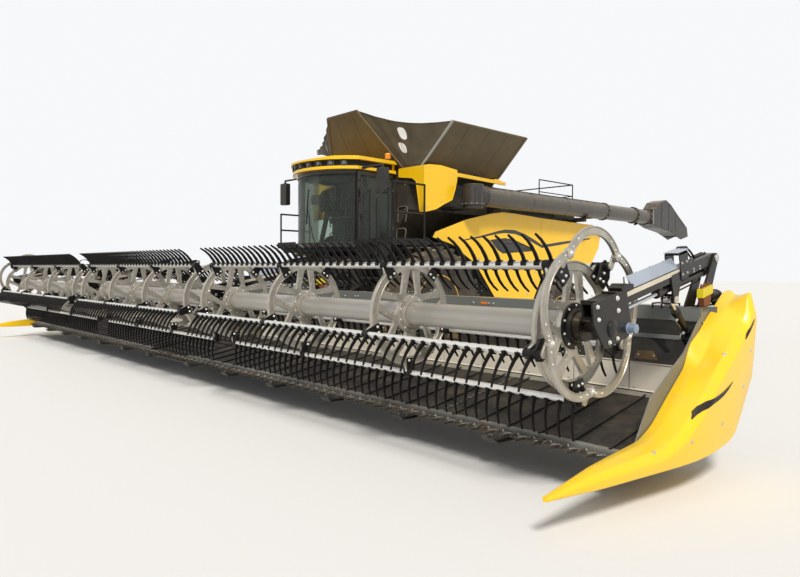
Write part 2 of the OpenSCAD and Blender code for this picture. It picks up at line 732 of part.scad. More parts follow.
module cab_controls() {
    y = cab_rear_y - 180;
    z = cab_floor_z + seat_gap;
    wheel = [0, cab_side_y + 60, cab_floor_z + 760];
    color("#2e2e2e") {
        box([-180, y - 440, z], [180, y - 120, cab_floor_z + 400 - seat_gap]);
        box([-420, y - 560, cab_floor_z + 640], [-290, y - 60, cab_floor_z + 700]);
        box([-400, y - 160, z], [-300, y - 80, cab_floor_z + 641]);
        bar([0, cab_side_y - 130, z + 25], wheel, 45);
        translate([0, cab_side_y - 130, z]) cylinder(h = 40, r = 90);
        translate(wheel) rotate([25, 0, 0]) rotate_extrude() translate([190, 0]) circle(r = 16);
        translate(wheel) rotate([25, 0, 0]) for (a = [90, 210, 330]) rotate(a)
            box([0, -15, -8], [192, 15, 8]);
    }
}

door_y0 = cab_side_y + 62;
door_y1 = cab_rear_y - 4;
door_x = cab_hw + run_gap;
door_pin = [cab_hw + 28, cab_rear_y + 12];
door_hinge_zs = [cab_floor_z + 250, roof_z - 350];

module cab_door() {
    z0 = cab_floor_z + 10;
    z1 = roof_z - 20;
    color("#2a2a2a") {
        difference() {
            box([door_x, door_y0 - 60, z0], [door_x + 45, door_y1, z1]);
            box([door_x - 10, door_y0, z0 + 60], [door_x + 100, door_y1 - 60, z1 - 60]);
        }
        for (z = door_hinge_zs) difference() {
            box([door_x, door_y1 - 1, z + 22], [door_pin[0] + 16, door_pin[1] + 16, z + 60]);
            translate([door_pin[0], door_pin[1], z]) cylinder(h = 70, r = 10 + run_fit);
        }
        tube_path([[door_x + 30, door_y0 - 35, z0 + 500], [door_x + 110, door_y0 - 35, z0 + 500],
            [door_x + 110, door_y0 - 35, z0 + 1100], [door_x + 30, door_y0 - 35, z0 + 1100]], 14);
    }
}

module cab_door_glass() {
    z0 = cab_floor_z + 70 + seat_gap;
    z1 = roof_z - 80 - seat_gap;
    color("lightblue", 0.4) box([door_x + 18, door_y0 + seat_gap, z0],
        [door_x + 18 + glass_t, door_y1 - 60 - seat_gap, z1]);
}

// Platforms beside the cab with their rails, and the ladder in front of the left tyre
deck_out_x = 1880;
rail_r = 17;

module platform() {
    x0 = cab_hw + 70;
    y0 = cab_side_y - 60;
    y1 = cab_rear_y - 120;
    z = cab_floor_z;
    color("#2a2a2a") {
        box([x0, y0, z - 40], [deck_out_x, y1, z]);
        box([-deck_out_x + 300, y0, z - 40], [-x0, y1, z]);
        for (y = [y0 + 90, body_front_y - 60]) {
            box([-1500, y, z - 130], [1500, y + 90 - seat_gap, z - 60 - seat_gap]);
            both() box([x0, y, z - 61], [1500, y + 70, z - 39]);
        }
        tube_path([[deck_out_x - 30, y0 + 60, z - 1], [deck_out_x - 30, y0 + 60, z + 1000],
            [deck_out_x - 30, y1 - 60, z + 1000], [deck_out_x - 30, y1 - 60, z - 1]], rail_r);
        bar([deck_out_x - 30, y0 + 60, z + 500], [deck_out_x - 30, y1 - 60, z + 500], rail_r);
        tube_path([[-deck_out_x + 330, y0 + 60, z - 1], [-deck_out_x + 330, y0 + 60, z + 650],
            [-deck_out_x + 330, y1 - 60, z + 650], [-deck_out_x + 330, y1 - 60, z - 1]], rail_r);
        bar([-deck_out_x + 330, y0 + 60, z + 330], [-deck_out_x + 330, y1 - 60, z + 330], rail_r);
    }
}

module ladder() {
    y = cab_side_y - 60 - seat_gap;
    x0 = 1350;
    x1 = 1850;
    color("#2a2a2a") {
        for (x = [x0, x1 - 30]) slab(30, x + 15) polygon([[y, cab_floor_z - 1],
            [y, cab_floor_z - 160], [y - 150, cab_floor_z - 300], [y - 150, 560], [y - 240, 560],
            [y - 240, cab_floor_z - 1]]);
        for (z = [580 : 300 : cab_floor_z - 100])
            box([x0 + 1, y - 260, z], [x1 - 1, y - 60 - (z < 1900 ? 60 : 0), z + 30]);
        for (x = [x0 + 15, x1 - 15]) tube_path([[x, y - 195, 1500], [x, y - 310, 1610],
            [x, y - 310, cab_floor_z + 700], [x, y - 60, cab_floor_z + 900],
            [x, y - 60, cab_floor_z - 60]], 13);
    }
}

module mirrors() {
    y = cab_side_y + 60;
    color("#1c1c1c") both() {
        tube_path([[cab_hw + 95 + seat_gap, y, roof_z + 30], [cab_hw + 640, y, roof_z + 30],
            [cab_hw + 640, y, roof_z - 30]], 18);
        box([cab_hw + 540, y - 50, roof_z - 450], [cab_hw + 740, y + 50, roof_z - 29]);
    }
}

module lamps() {
    color("#eeeeee") {
        for (a = [-42 : 12 : 42]) translate([0, cab_nose_y + cab_arc_r, roof_z + 72]) rotate(a)
            box([-55, -cab_arc_r - 95, 0], [55, -cab_arc_r - 50 - seat_gap, 84]);
        both() translate([cab_hw + 60, cab_rear_y - 190, roof_z + roof_t + seat_gap])
            cylinder(h = 125, r = 52);
    }
}

// UNLOADING AUGER

auger_y = front_axle_y + 960;
spout_end_y = reel_y + spout_reach;
boot_y = spout_end_y - 2050;
turret_h = 45;
turret_z = auger_z - auger_r - turret_h - 10;

// Turret that the tube swings on, and the cradle for its far end
module auger_base() {
    rest_y = body_rear_y - 300;
    rest_top = auger_z - auger_r - run_gap;
    color("#2b2b2b") {
        translate([auger_x, auger_y, turret_z]) cylinder(h = turret_h, r = auger_r + 5);
        box([tank_in_hw + seat_gap, auger_y - 180, turret_z],
            [auger_x, auger_y + 180, turret_z + turret_h]);
        box([panel_pivot_x - 90, rest_y - 40, deck_z + seat_gap], [panel_pivot_x - 30, rest_y + 40,
            rest_top - 89]);
        box([panel_pivot_x - 90, rest_y - 40, rest_top - 90], [auger_x + 60, rest_y + 40,
            rest_top - 30]);
        box([auger_x - 200, rest_y - 60, rest_top - 31], [auger_x + 200, rest_y + 60, rest_top]);
    }
}

// The tube is stepped down in size beyond its middle flange
module auger_tube() {
    step_y = boot_y - 2040;
    color("#4a4a46") {
        translate([auger_x, auger_y, auger_z]) rotate([-90, 0, 0])
            cylinder(h = step_y - auger_y, r = auger_r);
        translate([auger_x, step_y - 1, auger_z]) rotate([-90, 0, 0])
            cylinder(h = boot_y - step_y + 1, r = auger_r - 10);
        translate([auger_x, auger_y, turret_z + turret_h + seat_gap])
            cylinder(h = auger_z + auger_r - turret_z - turret_h + 10, r = auger_r + 5);
        for (y = [auger_y + 250, step_y - 60, boot_y - 700, boot_y - 40])
            translate([auger_x, y, auger_z]) rotate([-90, 0, 0]) cylinder(h = 40, r = auger_r + 20);
    }
}

// Spout: a humped boot whose mouth faces down at the far end
module auger_spout() {
    z = auger_z;
    r = auger_r;
    y0 = boot_y + seat_gap;
    y1 = spout_end_y;
    color("#1c1c1c") translate([auger_x, 0, 0]) difference() {
        slab(2 * r) polygon([[y0, z + r], [y0 + 190, z + r + 5], [y0 + 410, z + 388],
            [y0 + 730, z + 469], [y0 + 1020, z + 363], [y0 + 1370, z + 151], [y1 - 60, z - 190],
            [y1, z - 410], [y1 - 410, z - 513], [y1 - 1010, z - 353], [y0 + 300, z - 264],
            [y0, z - r]]);
        slab(2 * r - 50) polygon([[y0 - 1, z + r - 25], [y0 + 200, z + r - 20],
            [y0 + 425, z + 362], [y0 + 730, z + 442], [y0 + 1008, z + 340], [y0 + 1355, z + 128],
            [y1 - 82, z - 205], [y1 - 30, z - 400], [y1 - 30, z - 530], [y1 - 740, z - 530],
            [y1 - 740, z - 398], [y1 - 1000, z - 328], [y0 + 305, z - 238], [y0 - 1, z - r + 25]]);
    }
}

// FEEDER HOUSE AND HEADER

feeder_front_y = back_rear_y + seat_gap;
feeder_mid_z = 830;
feeder_wall = 30;

// Side outline of the feeder house, drawn in by d
module feeder_side(d) {
    polygon([[feeder_front_y - (d > 0 ? 1 : 0), feeder_mid_z - feeder_h / 2 + d],
        [feeder_front_y - (d > 0 ? 1 : 0), feeder_mid_z + feeder_h / 2 - d],
        [pivot_y - 150, pivot_z + 120 - d], [pivot_y + 20 - d, pivot_z + 120 - d],
        [pivot_y + 20 - d, pivot_z - 380 + d]]);
}

module feeder_house() {
    color("#4a4a4a") {
        difference() {
            slab(feeder_w) feeder_side(0);
            intersection() {
                slab(feeder_w - 2 * feeder_wall) feeder_side(feeder_wall);
                box([-feeder_w, feeder_front_y - 10, 0], [feeder_w, feeder_front_y + 450, 3000]);
            }
        }
        both() lift_ears(lift_x, lift_q, [[lift_q[1] - 60, 780], [lift_q[1] + 90, 850]]);
        xcyl([0, pivot_y, pivot_z], feeder_w + 180, trunnion_r);
    }
}

deck_slope = atan((deck_rear_z - deck_front_z) / (back_y - 10 - deck_front_y));
deck_l = (back_y - 10 - deck_front_y) / cos(deck_slope);

belt_drop = 40;

// Height just below a deck that is t thick, at y
function under_deck(y, t) = deck_front_z + (y - deck_front_y) * tan(deck_slope)
    - t / cos(deck_slope) - seat_gap;

// A frame whose Y runs up the decks' slope and whose Z stands on them
module on_deck() {
    translate([0, deck_front_y, deck_front_z]) rotate([deck_slope, 0, 0]) children();
}

module header_frame() {
    beam_low_z = beam_top_z - beam_h;
    color("#8a8f94") {
        box([-half_cut, back_y, beam_low_z], [half_cut, back_rear_y, beam_top_z]);
        both() {
            box([mouth_w / 2, back_y + 20, rail_low_z - 1], [half_cut, back_y + 45, beam_low_z + 1]);
            box([mouth_w / 2, back_y + 20, rail_low_z - 120], [half_cut, back_rear_y, rail_low_z]);
            box([mouth_w / 2, back_y + 20, rail_low_z - 1],
                [mouth_w / 2 + 90, back_rear_y, beam_low_z + 1]);
        }
        box([-mouth_w / 2 - 1, back_y + 60, rail_low_z - 220], [mouth_w / 2 + 1, back_rear_y,
            rail_low_z - 120]);
        slab(mouth_w + 2) polygon([[deck_front_y, under_deck(deck_front_y, deck_t + belt_drop) - 8],
            [deck_front_y, under_deck(deck_front_y, deck_t + belt_drop)],
            [back_y + 70, under_deck(back_y + 70, deck_t + belt_drop)],
            [back_y + 70, under_deck(back_y + 70, deck_t + belt_drop) - 8]]);
    }
}

// Beams under the decks, from the cutterbar to the lower rail, and the two end plates
module header_supports() {
    spans = 6;
    y1 = back_y + 20 - seat_gap;
    color("#8a8f94") both() {
        for (i = [0 : spans])
            translate([mouth_w / 2 + 60 + i * (half_cut - mouth_w / 2 - 120) / spans, 0, 0])
            slab(60) polygon([[knife_y + 20, knife_z - 30 - seat_gap],
                [deck_front_y, under_deck(deck_front_y, deck_t)], [y1, under_deck(y1, deck_t)],
                [y1, rail_low_z - 120], [deck_front_y + 200, knife_z - 110],
                [knife_y + 20, knife_z - 110]]);
        slab(12, half_cut - 6) polygon([[knife_y, knife_z - 30 - seat_gap],
            [knife_y + 100, knife_z - 30 - seat_gap], [knife_y + 400, 700], [back_y - 300, 1000],
            [back_y - seat_gap, beam_top_z - 80], [back_y - seat_gap, beam_top_z - beam_h - 1],
            [y1, beam_top_z - beam_h - 1], [y1, rail_low_z - 120],
            [knife_y + 300, knife_z - 110], [knife_y, knife_z - 110]]);
    }
}

// Brackets on the beam that the reel arms hang in, and the lower lugs of their cylinders
module reel_brackets() {
    color("#222222") difference() {
        for (x = arm_xs) {
            for (s = [-1, 1]) slab(16, x + s * (arm_w / 2 + 1 + 8)) rounded([[back_y + 40, beam_top_z],
                [back_y + 120, beam_top_z], [arm_pivot[1], arm_pivot[2]]], 45);
            xcyl([x, arm_pivot[1], arm_pivot[2]], arm_w + 34, pin_r);
            lift_ears(x, reel_lift_p, [[back_y + 50, reel_lift_p[2] - 60], [back_y + 50, reel_lift_p[2] + 60]]);
        }
        box([-half_cut, back_y + 20 - seat_gap, 0], [half_cut, back_rear_y + 100, beam_top_z - beam_h]);
        box([-half_cut, back_y - 100, beam_top_z - beam_h - 1], [half_cut, back_rear_y + 100,
            beam_top_z + seat_gap]);
    }
}

cleat_pitch = 305;

// Draper belts: two that run in from the ends and a short one that runs into the feeder house
module draper_decks() {
    x0 = mouth_w / 2 + 20;
    x1 = half_cut - 30;
    n = floor((x1 - x0 - 2 * deck_t) / cleat_pitch);
    color("#2c2c2c") {
        both() on_deck() {
            translate([0, deck_l, 0]) rotate([90, 0, 0]) linear_extrude(deck_l)
                rounded([[x0 + deck_t / 2, -deck_t / 2], [x1 - deck_t / 2, -deck_t / 2]], deck_t / 2);
            for (i = [0 : n]) translate([x0 + deck_t + i * cleat_pitch, 20, -1])
                cube([18, deck_l - 40, 19]);
        }
        on_deck() translate([0, 0, -deck_t - belt_drop]) slab(mouth_w - 40)
            rounded([[deck_t / 2, deck_t / 2], [deck_l + beam_d - deck_t, deck_t / 2]], deck_t / 2);
    }
}

module cutterbar() {
    n = floor(cut_w / guard_pitch);
    color("#3a3a3a") {
        box([-half_cut + 21, knife_y, knife_z - 30], [half_cut - 21, deck_front_y - 8, knife_z]);
        translate([0, 0, knife_z - 22]) linear_extrude(20)
            for (i = [1 : n - 2]) translate([-half_cut + (i + 0.5) * cut_w / n, knife_y + 5])
                polygon([[-18, 0], [-4, -guard_l], [4, -guard_l], [18, 0]]);
    }
}

// Sections of a divider along its length: how far behind the reel's axis, its width as a part
// of the full one, and its heights over the knife at the foot, the inner edge, the crease, the
// outer edge and the outer side
divider_rows = [
    [-tip_reach, 0.13, -68, -40, -38, -42, -50], [-300, 0.43, -80, 45, 50, 30, -10],
    [350, 0.77, -80, 100, 110, 80, 20], [550, 0.87, -80, 181, 185, 160, 90],
    [780, 0.97, -75, 351, 360, 320, 250], [1030, 1, -65, 524, 532, 523, 450],
    [1120, 1, -55, 585, 575, 588, 510], [1150, 1, -50, 720, 585, 610, 530],
    [1260, 1, -40, 777, 675, 680, 600], [1390, 1, -10, 851, 812, 768, 680],
    [1460, 1, 30, 913, 885, 813, 730], [1650, 1, 270, 1030, 1025, 915, 870],
    [1700, 1, 344, 1065, 1045, 1160, 1050], [1850, 0.97, 470, 1155, 1110, 1140, 875],
    [1940, 0.37, 570, 1156, 1154, 970, 870]];

module dividers() {
    n = len(divider_rows);
    pts = [for (r = divider_rows) let (w = r[1] * divider_w)
        each [for (c = [[0, 2], [0, 3], [0.33, 4], [0.83, 5], [1, 6], [0.9, 2]])
            [half_cut + seat_gap + c[0] * w, reel_y + r[0], knife_z + r[c[1]]]]];
    faces = concat([[for (j = [0 : 5]) j]], [[for (j = [0 : 5]) 6 * n - 1 - j]],
        [for (k = [0 : n - 2], j = [0 : 5]) let (a = 6 * k + j, b = 6 * k + (j + 1) % 6)
            each [[b, a, a + 6], [b, a + 6, b + 6]]]);
    color("gold") both() polyhedron(pts, faces);
}

// REEL

slide_wall = 14;
slide_fit = 0.5;
slide_l = 300;
axis_s = (arm_pivot[1] - reel_y) * cos(arm_tilt) + (arm_pivot[2] - reel_z) * sin(arm_tilt);
axis_up = (arm_pivot[1] - reel_y) * sin(arm_tilt) - (arm_pivot[2] - reel_z) * cos(arm_tilt);
ram_up = -95;
ram_r = 30;
ram_rod_r = 15;
ram_s0 = 150;
ram_s1 = 1000;

// A frame at a reel arm's pivot: -Y runs forward along the arm and Z stands across it
module on_reel_arm(x) {
    translate([x, arm_pivot[1], arm_pivot[2]]) rotate([arm_tilt, 0, 0]) children();
}

// Reel arms: box beams with the barrels that move the reel fore and aft, and lift lugs
module reel_arms() {
    hw = arm_w / 2;
    hh = arm_h / 2;
    color("#222222") for (x = arm_xs) {
        on_reel_arm(x) difference() {
            union() {
                box([-hw, -arm_l, -hh], [hw, 0, hh]);
                xcyl([0, 0, 0], arm_w, hh);
                translate([0, -ram_s0, ram_up]) rotate([90, 0, 0])
                    cylinder(h = ram_s1 - ram_s0, r = ram_r);
                for (s = [ram_s0 + 20, ram_s1 - 80])
                    box([-20, -s - 50, ram_up], [20, -s, -hh + 1]);
            }
            xcyl([0, 0, 0], arm_w + 2, pin_r + run_fit);
            translate([0, -ram_s0 - 15, ram_up]) rotate([90, 0, 0])
                cylinder(h = ram_s1 - ram_s0 - 55, r = ram_r - 6);
            translate([0, -ram_s1 + 50, ram_up]) rotate([90, 0, 0])
                cylinder(h = 60, r = ram_rod_r + run_fit);
        }
        lift_ears(x, reel_lift_q, [[reel_lift_q[1] - 60, reel_lift_q[2] + 165],
            [reel_lift_q[1] + 60, reel_lift_q[2] + 190]]);
    }
}

// Slides: sleeves on the arms with the reel's bearings and the rams' rods
module reel_slides() {
    hw = arm_w / 2 + slide_fit;
    hh = arm_h / 2 + slide_fit;
    w = slide_wall;
    color("#1c1c1c") for (x = arm_xs) on_reel_arm(x) difference() {
        union() {
            box([-hw - w, -axis_s - slide_l / 2, -hh - w], [hw + w, -axis_s + slide_l / 2, hh + w]);
            slab(arm_w * 0.8) rounded([[-axis_s - 110, -hh - w + 5], [-axis_s + 110, -hh - w + 5],
                [-axis_s, axis_up]], 10);
            xcyl([0, -axis_s, axis_up], arm_w, 82);
            translate([0, -axis_s + slide_l / 2 + 1, ram_up]) rotate([-90, 0, 0])
                cylinder(h = axis_s - slide_l / 2 - ram_s1 + 110, r = ram_rod_r);
            box([-22, -axis_s + slide_l / 2 - 60, ram_up - 25], [22, -axis_s + slide_l / 2 + 5,
                -hh - w + 1]);
        }
        box([-hw, -axis_s - slide_l, -hh], [hw, -axis_s + slide_l, hh]);
        xcyl([0, -axis_s, axis_up], arm_w + 2, journal_r + run_fit);
    }
}

// Places a reel section: side -1, 0 or 1
module on_section(side) {
    if (side == 0) translate([-middle_l / 2, reel_y, reel_z]) children();
    else mirror([side < 0 ? 1 : 0, 0, 0]) translate([outer_x0, reel_y, reel_z]) children();
}

// Centre tube with coned ends and the journals that run in the arms' bearings
module reel_core(side) {
    l = side == 0 ? middle_l : outer_l;
    low = inner_arm_x - arm_w / 2;
    reach = side == 0 ? low - middle_l / 2 : outer_x0 - inner_arm_x - arm_w / 2;
    reach_out = side == 0 ? reach : outer_arm_x - arm_w / 2 - outer_x1;
    grip = arm_w / 2 - 3;
    color("#8f9296") on_section(side) {
        xcyl([l / 2, 0, 0], l, core_d / 2);
        translate([-60, 0, 0]) rotate([0, 90, 0]) cylinder(h = 61, r1 = 60, r2 = core_d / 2 - 2);
        translate([-reach - grip, 0, 0]) rotate([0, 90, 0])
            cylinder(h = reach + grip + 1, r = journal_r);
        if (side == 0) translate([l - 1, 0, 0]) rotate([0, 90, 0])
            cylinder(h = 61, r1 = core_d / 2 - 2, r2 = 60);
        translate([l - 1, 0, 0]) rotate([0, 90, 0])
            cylinder(h = reach_out + grip + 1, r = journal_r);
    }
}

// Outline of a tine in its own plane: half widths taper along a bent middle line
tine_n = 4;
function tine_angle(d, k) = d + tine_bend * (2 * k / tine_n - 1);
function tine_points(d) = [for (k = 0, p = [0, 0]; k <= tine_n;
    p = p + tine_l / tine_n * polar(1, tine_angle(d, k + 0.5)), k = k + 1) p];

module tine(d) {
    mid = tine_points(d);
    side = [for (k = [0 : tine_n]) (12.5 - 8 * k / tine_n) * polar(1, tine_angle(d, k) + 90)];
    polygon(concat([for (k = [0 : tine_n]) mid[k] + side[k]],
        [for (k = [tine_n : -1 : 0]) mid[k] - side[k]]));
}

// A cast disc with Y-shaped spokes: one for each bat, at the bat's angle
module spoked_disc() {
    r = disc_d / 2;
    c = 25;
    rotate([90, 0, 90]) linear_extrude(disc_t, center = true) difference() {
        union() {
            circle(r = r, $fn = 96);
            for (a = bat_angles) rotate(a)
                polygon([[r - 40, -60], [bat_r, -30], [bat_r, 30], [r - 40, 60]]);
        }
        circle(r = core_d / 2 + seat_gap);
        for (a = bat_angles) rotate(a)
            rounded([polar(r - 90, 17), polar(r - 90, -17), polar(r * 0.52, 0)], c);
        for (a = bat_angles) rotate(a + 36)
            rounded([polar(r - 90, 0), polar(r * 0.42, -12), polar(r * 0.42, 12)], c);
    }
}

crank_t = 14;
ring_off = [45, 75];

// Bats with their tines on the discs of one section, and cranks at the outer end
module reel_bats(side) {
    l = side == 0 ? middle_l : outer_l;
    discs = side == 0 ? middle_discs : outer_discs;
    n = floor((l - 60) / tine_pitch);
    color("#c8c8c4") on_section(side) {
        for (x = discs) translate([x, 0, 0]) spoked_disc();
        for (i = [0 : len(bat_angles) - 1]) {
            p = polar(bat_r, bat_angles[i]);
            xcyl([l / 2, p[0], p[1]], l - (side == 0 ? 2 : 1), bat_d / 2);
            for (k = [0 : n - 1]) translate([30 + (k + 0.5) * (l - 60) / n, p[0], p[1]])
                slab(tine_t) tine(tine_dirs[i]);
            if (side != 0) slab(crank_t, l - crank_t / 2) rounded([p, p + ring_off], 26);
        }
        if (side != 0) translate([l - 1, 0, 0]) wavy_ring();
    }
}

// Wavy ring that joins the cranks at the reel's outer end: five arcs that bow outwards
ring_t = 22;
ring_band = 44;

module wavy_ring() {
    chord = bat_r * cos(36);
    half = bat_r * sin(36);
    sag = ring_r - chord;
    rad = (half * half + sag * sag) / (2 * sag);
    translate([0, ring_off[0], ring_off[1]]) rotate([90, 0, 90]) linear_extrude(ring_t) {
        for (a = bat_angles) rotate(a + 36) intersection() {
            translate([ring_r - rad, 0]) difference() {
                circle(r = rad + ring_band / 2, $fn = 96);
                circle(r = rad - ring_band / 2, $fn = 96);
            }
            translate([chord - 10, -half - 60]) square([400, 2 * half + 120]);
        }
        for (a = bat_angles) rotate(a) translate([bat_r, 0]) circle(r = 42);
    }
}

// LIFT CYLINDERS

// Turns children so that +Y runs from pin p to pin q
module along(x, p, q) {
    translate([x, p[1], p[2]]) rotate([atan2(q[2] - p[2], q[1] - p[1]), 0, 0]) children();
}

module barrel(x, p, q, l, r, rod_r) {
    eye = pin_r + 22;
    along(x, p, q) difference() {
        union() {
            xcyl([0, 0, 0], eye_w, eye);
            translate([0, eye * 0.7, 0]) rotate([-90, 0, 0]) cylinder(h = l - eye * 0.7, r = r);
        }
        xcyl([0, 0, 0], eye_w + 2, pin_r + run_fit);
        translate([0, eye + 14, 0]) rotate([-90, 0, 0]) cylinder(h = l - eye - 54, r = r - 10);
        translate([0, l - 41, 0]) rotate([-90, 0, 0]) cylinder(h = 50, r = rod_r + run_fit);
    }
}

module piston_rod(x, p, q, l, rod_r) {
    eye = pin_r + eye_gap + 14;
    full = norm(q - p);
    along(x, p, q) difference() {
        union() {
            translate([0, full, 0]) xcyl([0, 0, 0], eye_w - 10, eye);
            translate([0, full - l, 0]) rotate([-90, 0, 0])
                cylinder(h = l - eye * 0.8, r = rod_r);
        }
        translate([0, full, 0]) xcyl([0, 0, 0], eye_w, pin_r + eye_gap);
    }
}

module lift_barrels() {
    color("#222222") both() barrel(lift_x, lift_p, lift_q, 1050, 62, 36);
}

module lift_rods() {
    color("silver") both() piston_rod(lift_x, lift_p, lift_q, 1150, 36);
}

module reel_lift_barrels() {
    color("#222222") for (x = arm_xs) barrel(x, reel_lift_p, reel_lift_q, 350, 32, 16);
}

module reel_lift_rods() {
    color("silver") for (x = arm_xs) piston_rod(x, reel_lift_p, reel_lift_q, 400, 16);
}

chassis_frame();
front_axle();
rear_axle();
threshing_body();
service_deck();
engine_block();
engine_hood();
grain_tank();
tank_covers();
tank_gussets();
tank_cheeks();
fixed_panels();
straw_hood();
cab_frame();
cab_roof();
cab_glass();
cab_seat();
cab_controls();
platform();
ladder();
mirrors();
lamps();
auger_base();
side_panel(1);  // side_panel_left
side_panel(-1);  // side_panel_right
cab_door();
cab_door_glass();
auger_tube();
auger_spout();
feeder_house();
header_frame();
header_supports();
reel_brackets();
draper_decks();
cutterbar();
dividers();
reel_arms();
reel_slides();
reel_core(1);  // reel_core_left
reel_core(0);  // reel_core_middle
reel_core(-1);  // reel_core_right
reel_bats(1);  // reel_bats_left
reel_bats(0);  // reel_bats_middle
reel_bats(-1);  // reel_bats_right
front_tyre(1);  // front_tyre_left
front_tyre(-1);  // front_tyre_right
front_rim(1);  // front_rim_left
front_rim(-1);  // front_rim_right
rear_tyre(1);  // rear_tyre_left
rear_tyre(-1);  // rear_tyre_right
rear_rim(1);  // rear_rim_left
rear_rim(-1);  // rear_rim_right
knuckle(1);  // knuckle_left
knuckle(-1);  // knuckle_right
lift_barrels();
lift_rods();
reel_lift_barrels();
reel_lift_rods();
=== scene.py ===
import math

import bmesh
import bpy
from mathutils import Matrix, Vector
from mathutils.bvhtree import BVHTree


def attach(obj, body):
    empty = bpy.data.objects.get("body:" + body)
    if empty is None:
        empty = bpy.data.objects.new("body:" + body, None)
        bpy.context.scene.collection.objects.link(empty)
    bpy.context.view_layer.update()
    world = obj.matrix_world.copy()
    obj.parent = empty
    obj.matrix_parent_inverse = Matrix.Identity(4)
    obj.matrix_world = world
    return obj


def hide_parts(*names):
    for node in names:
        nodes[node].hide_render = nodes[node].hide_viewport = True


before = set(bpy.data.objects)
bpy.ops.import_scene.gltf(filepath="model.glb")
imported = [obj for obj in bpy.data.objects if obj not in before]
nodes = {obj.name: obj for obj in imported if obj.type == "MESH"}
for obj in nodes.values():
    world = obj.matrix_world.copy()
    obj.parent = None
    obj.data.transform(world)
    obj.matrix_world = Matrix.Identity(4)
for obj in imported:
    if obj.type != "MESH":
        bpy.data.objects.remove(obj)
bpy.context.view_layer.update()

# CAMERA
# The eye stands low beside the near crop divider, a little ahead of the reel, and
# looks back along the header to the cab. Its place and lens come from the vanishing
# points of the header's beam and of the body's long edges.
eye_at = Vector((9.873, -10.627, 1.638))
eye_right = Vector((0.67971, 0.73345, 0.00682))
eye_down = Vector((0.02507, -0.01395, -0.99959))
eye_ahead = Vector((-0.73305, 0.67960, -0.02787))
camera = bpy.data.objects.new("camera", bpy.data.cameras.new("camera"))
sensor_mm, focal_px, photo_px = 36.0, 657.87, 800
camera.data.sensor_width = sensor_mm
camera.data.lens = sensor_mm * focal_px / photo_px
camera.data.clip_end = 400.0
camera.matrix_world = Matrix(((eye_right.x, -eye_down.x, -eye_ahead.x, eye_at.x),
    (eye_right.y, -eye_down.y, -eye_ahead.y, eye_at.y), (eye_right.z, -eye_down.z, -eye_ahead.z,
    eye_at.z), (0, 0, 0, 1)))
bpy.context.scene.collection.objects.link(camera)
bpy.context.scene.camera = camera

# STUDIO
# Plain pale studio: an even sky, a soft sun from the left and above, and a floor whose
# colour is the background's, so that only the machine's shadow shows on it.


# What is given for an input is linked if it is a node or a socket, and set if it is a value.
def wire(node, inputs):
    for socket, value in inputs.items():
        if isinstance(value, bpy.types.Node):
            value = value.outputs[0]
        if isinstance(value, bpy.types.NodeSocket):
            node.id_data.links.new(value, node.inputs[socket])
        else:
            node.inputs[socket].default_value = value
    return node


def add(tree, kind, inputs=None, **settings):
    node = tree.nodes.new("ShaderNode" + kind)
    for word, value in settings.items():
        setattr(node, word, value)
    return wire(node, inputs or {})


bpy.context.scene.view_settings.view_transform = "Standard"
sky = bpy.data.worlds.new("studio sky")
bpy.context.scene.world = sky
sky.use_nodes = True
sky.node_tree.nodes.clear()
seen = add(sky.node_tree, "LightPath")
lit = add(sky.node_tree, "Background", {"Color": (0.93, 0.96, 1.0, 1), "Strength": 0.44})
shown = add(sky.node_tree, "Background", {"Color": (0.93, 0.94, 0.96, 1), "Strength": 1.0})
glossy = add(sky.node_tree, "Math", {0: seen.outputs["Is Camera Ray"],
    1: seen.outputs["Is Glossy Ray"]}, operation="MAXIMUM")
clear = add(sky.node_tree, "Math", {0: glossy, 1: seen.outputs["Is Transmission Ray"]},
    operation="MAXIMUM")
pick = add(sky.node_tree, "MixShader", {"Fac": clear, 1: lit, 2: shown})
add(sky.node_tree, "OutputWorld", {0: pick})
sun = bpy.data.objects.new("soft sun", bpy.data.lights.new("soft sun", "SUN"))
sun.data.energy = 3.1
sun.data.angle = math.radians(12)
sun.data.color = (1.0, 0.96, 0.9)
sun.rotation_euler = (math.radians(42), math.radians(10), math.radians(38))
bpy.context.scene.collection.objects.link(sun)

floor_mesh = bpy.data.meshes.new("floor")
floor_mesh.from_pydata([(-120, -120, 0), (120, -120, 0), (120, 120, 0), (-120, 120, 0)], [],
    [(0, 1, 2, 3)])
floor = bpy.data.objects.new("floor", floor_mesh)
bpy.context.scene.collection.objects.link(floor)
floor_paint = bpy.data.materials.new("studio floor")
floor_paint.use_nodes = True
wire(floor_paint.node_tree.nodes["Principled BSDF"], {"Base Color": (0.80, 0.79, 0.77, 1),
    "Roughness": 0.9})
floor.data.materials.append(floor_paint)

# YELLOW SIDE PANELS AND CHEEKS
# The pressed sheet-steel panels that close the machine's sides. They are sprayed in a
# warm yellow enamel, and field dust lies on what looks up and in the pressed edges.
# Their recesses are painted near-black as painted shade.


def srgb(r, g, b):
    return tuple(((v / 255 + 0.055) / 1.055) ** 2.4 if v > 10 else v / 3294.6 for v in (r, g, b))


field_dust = srgb(176, 152, 112)


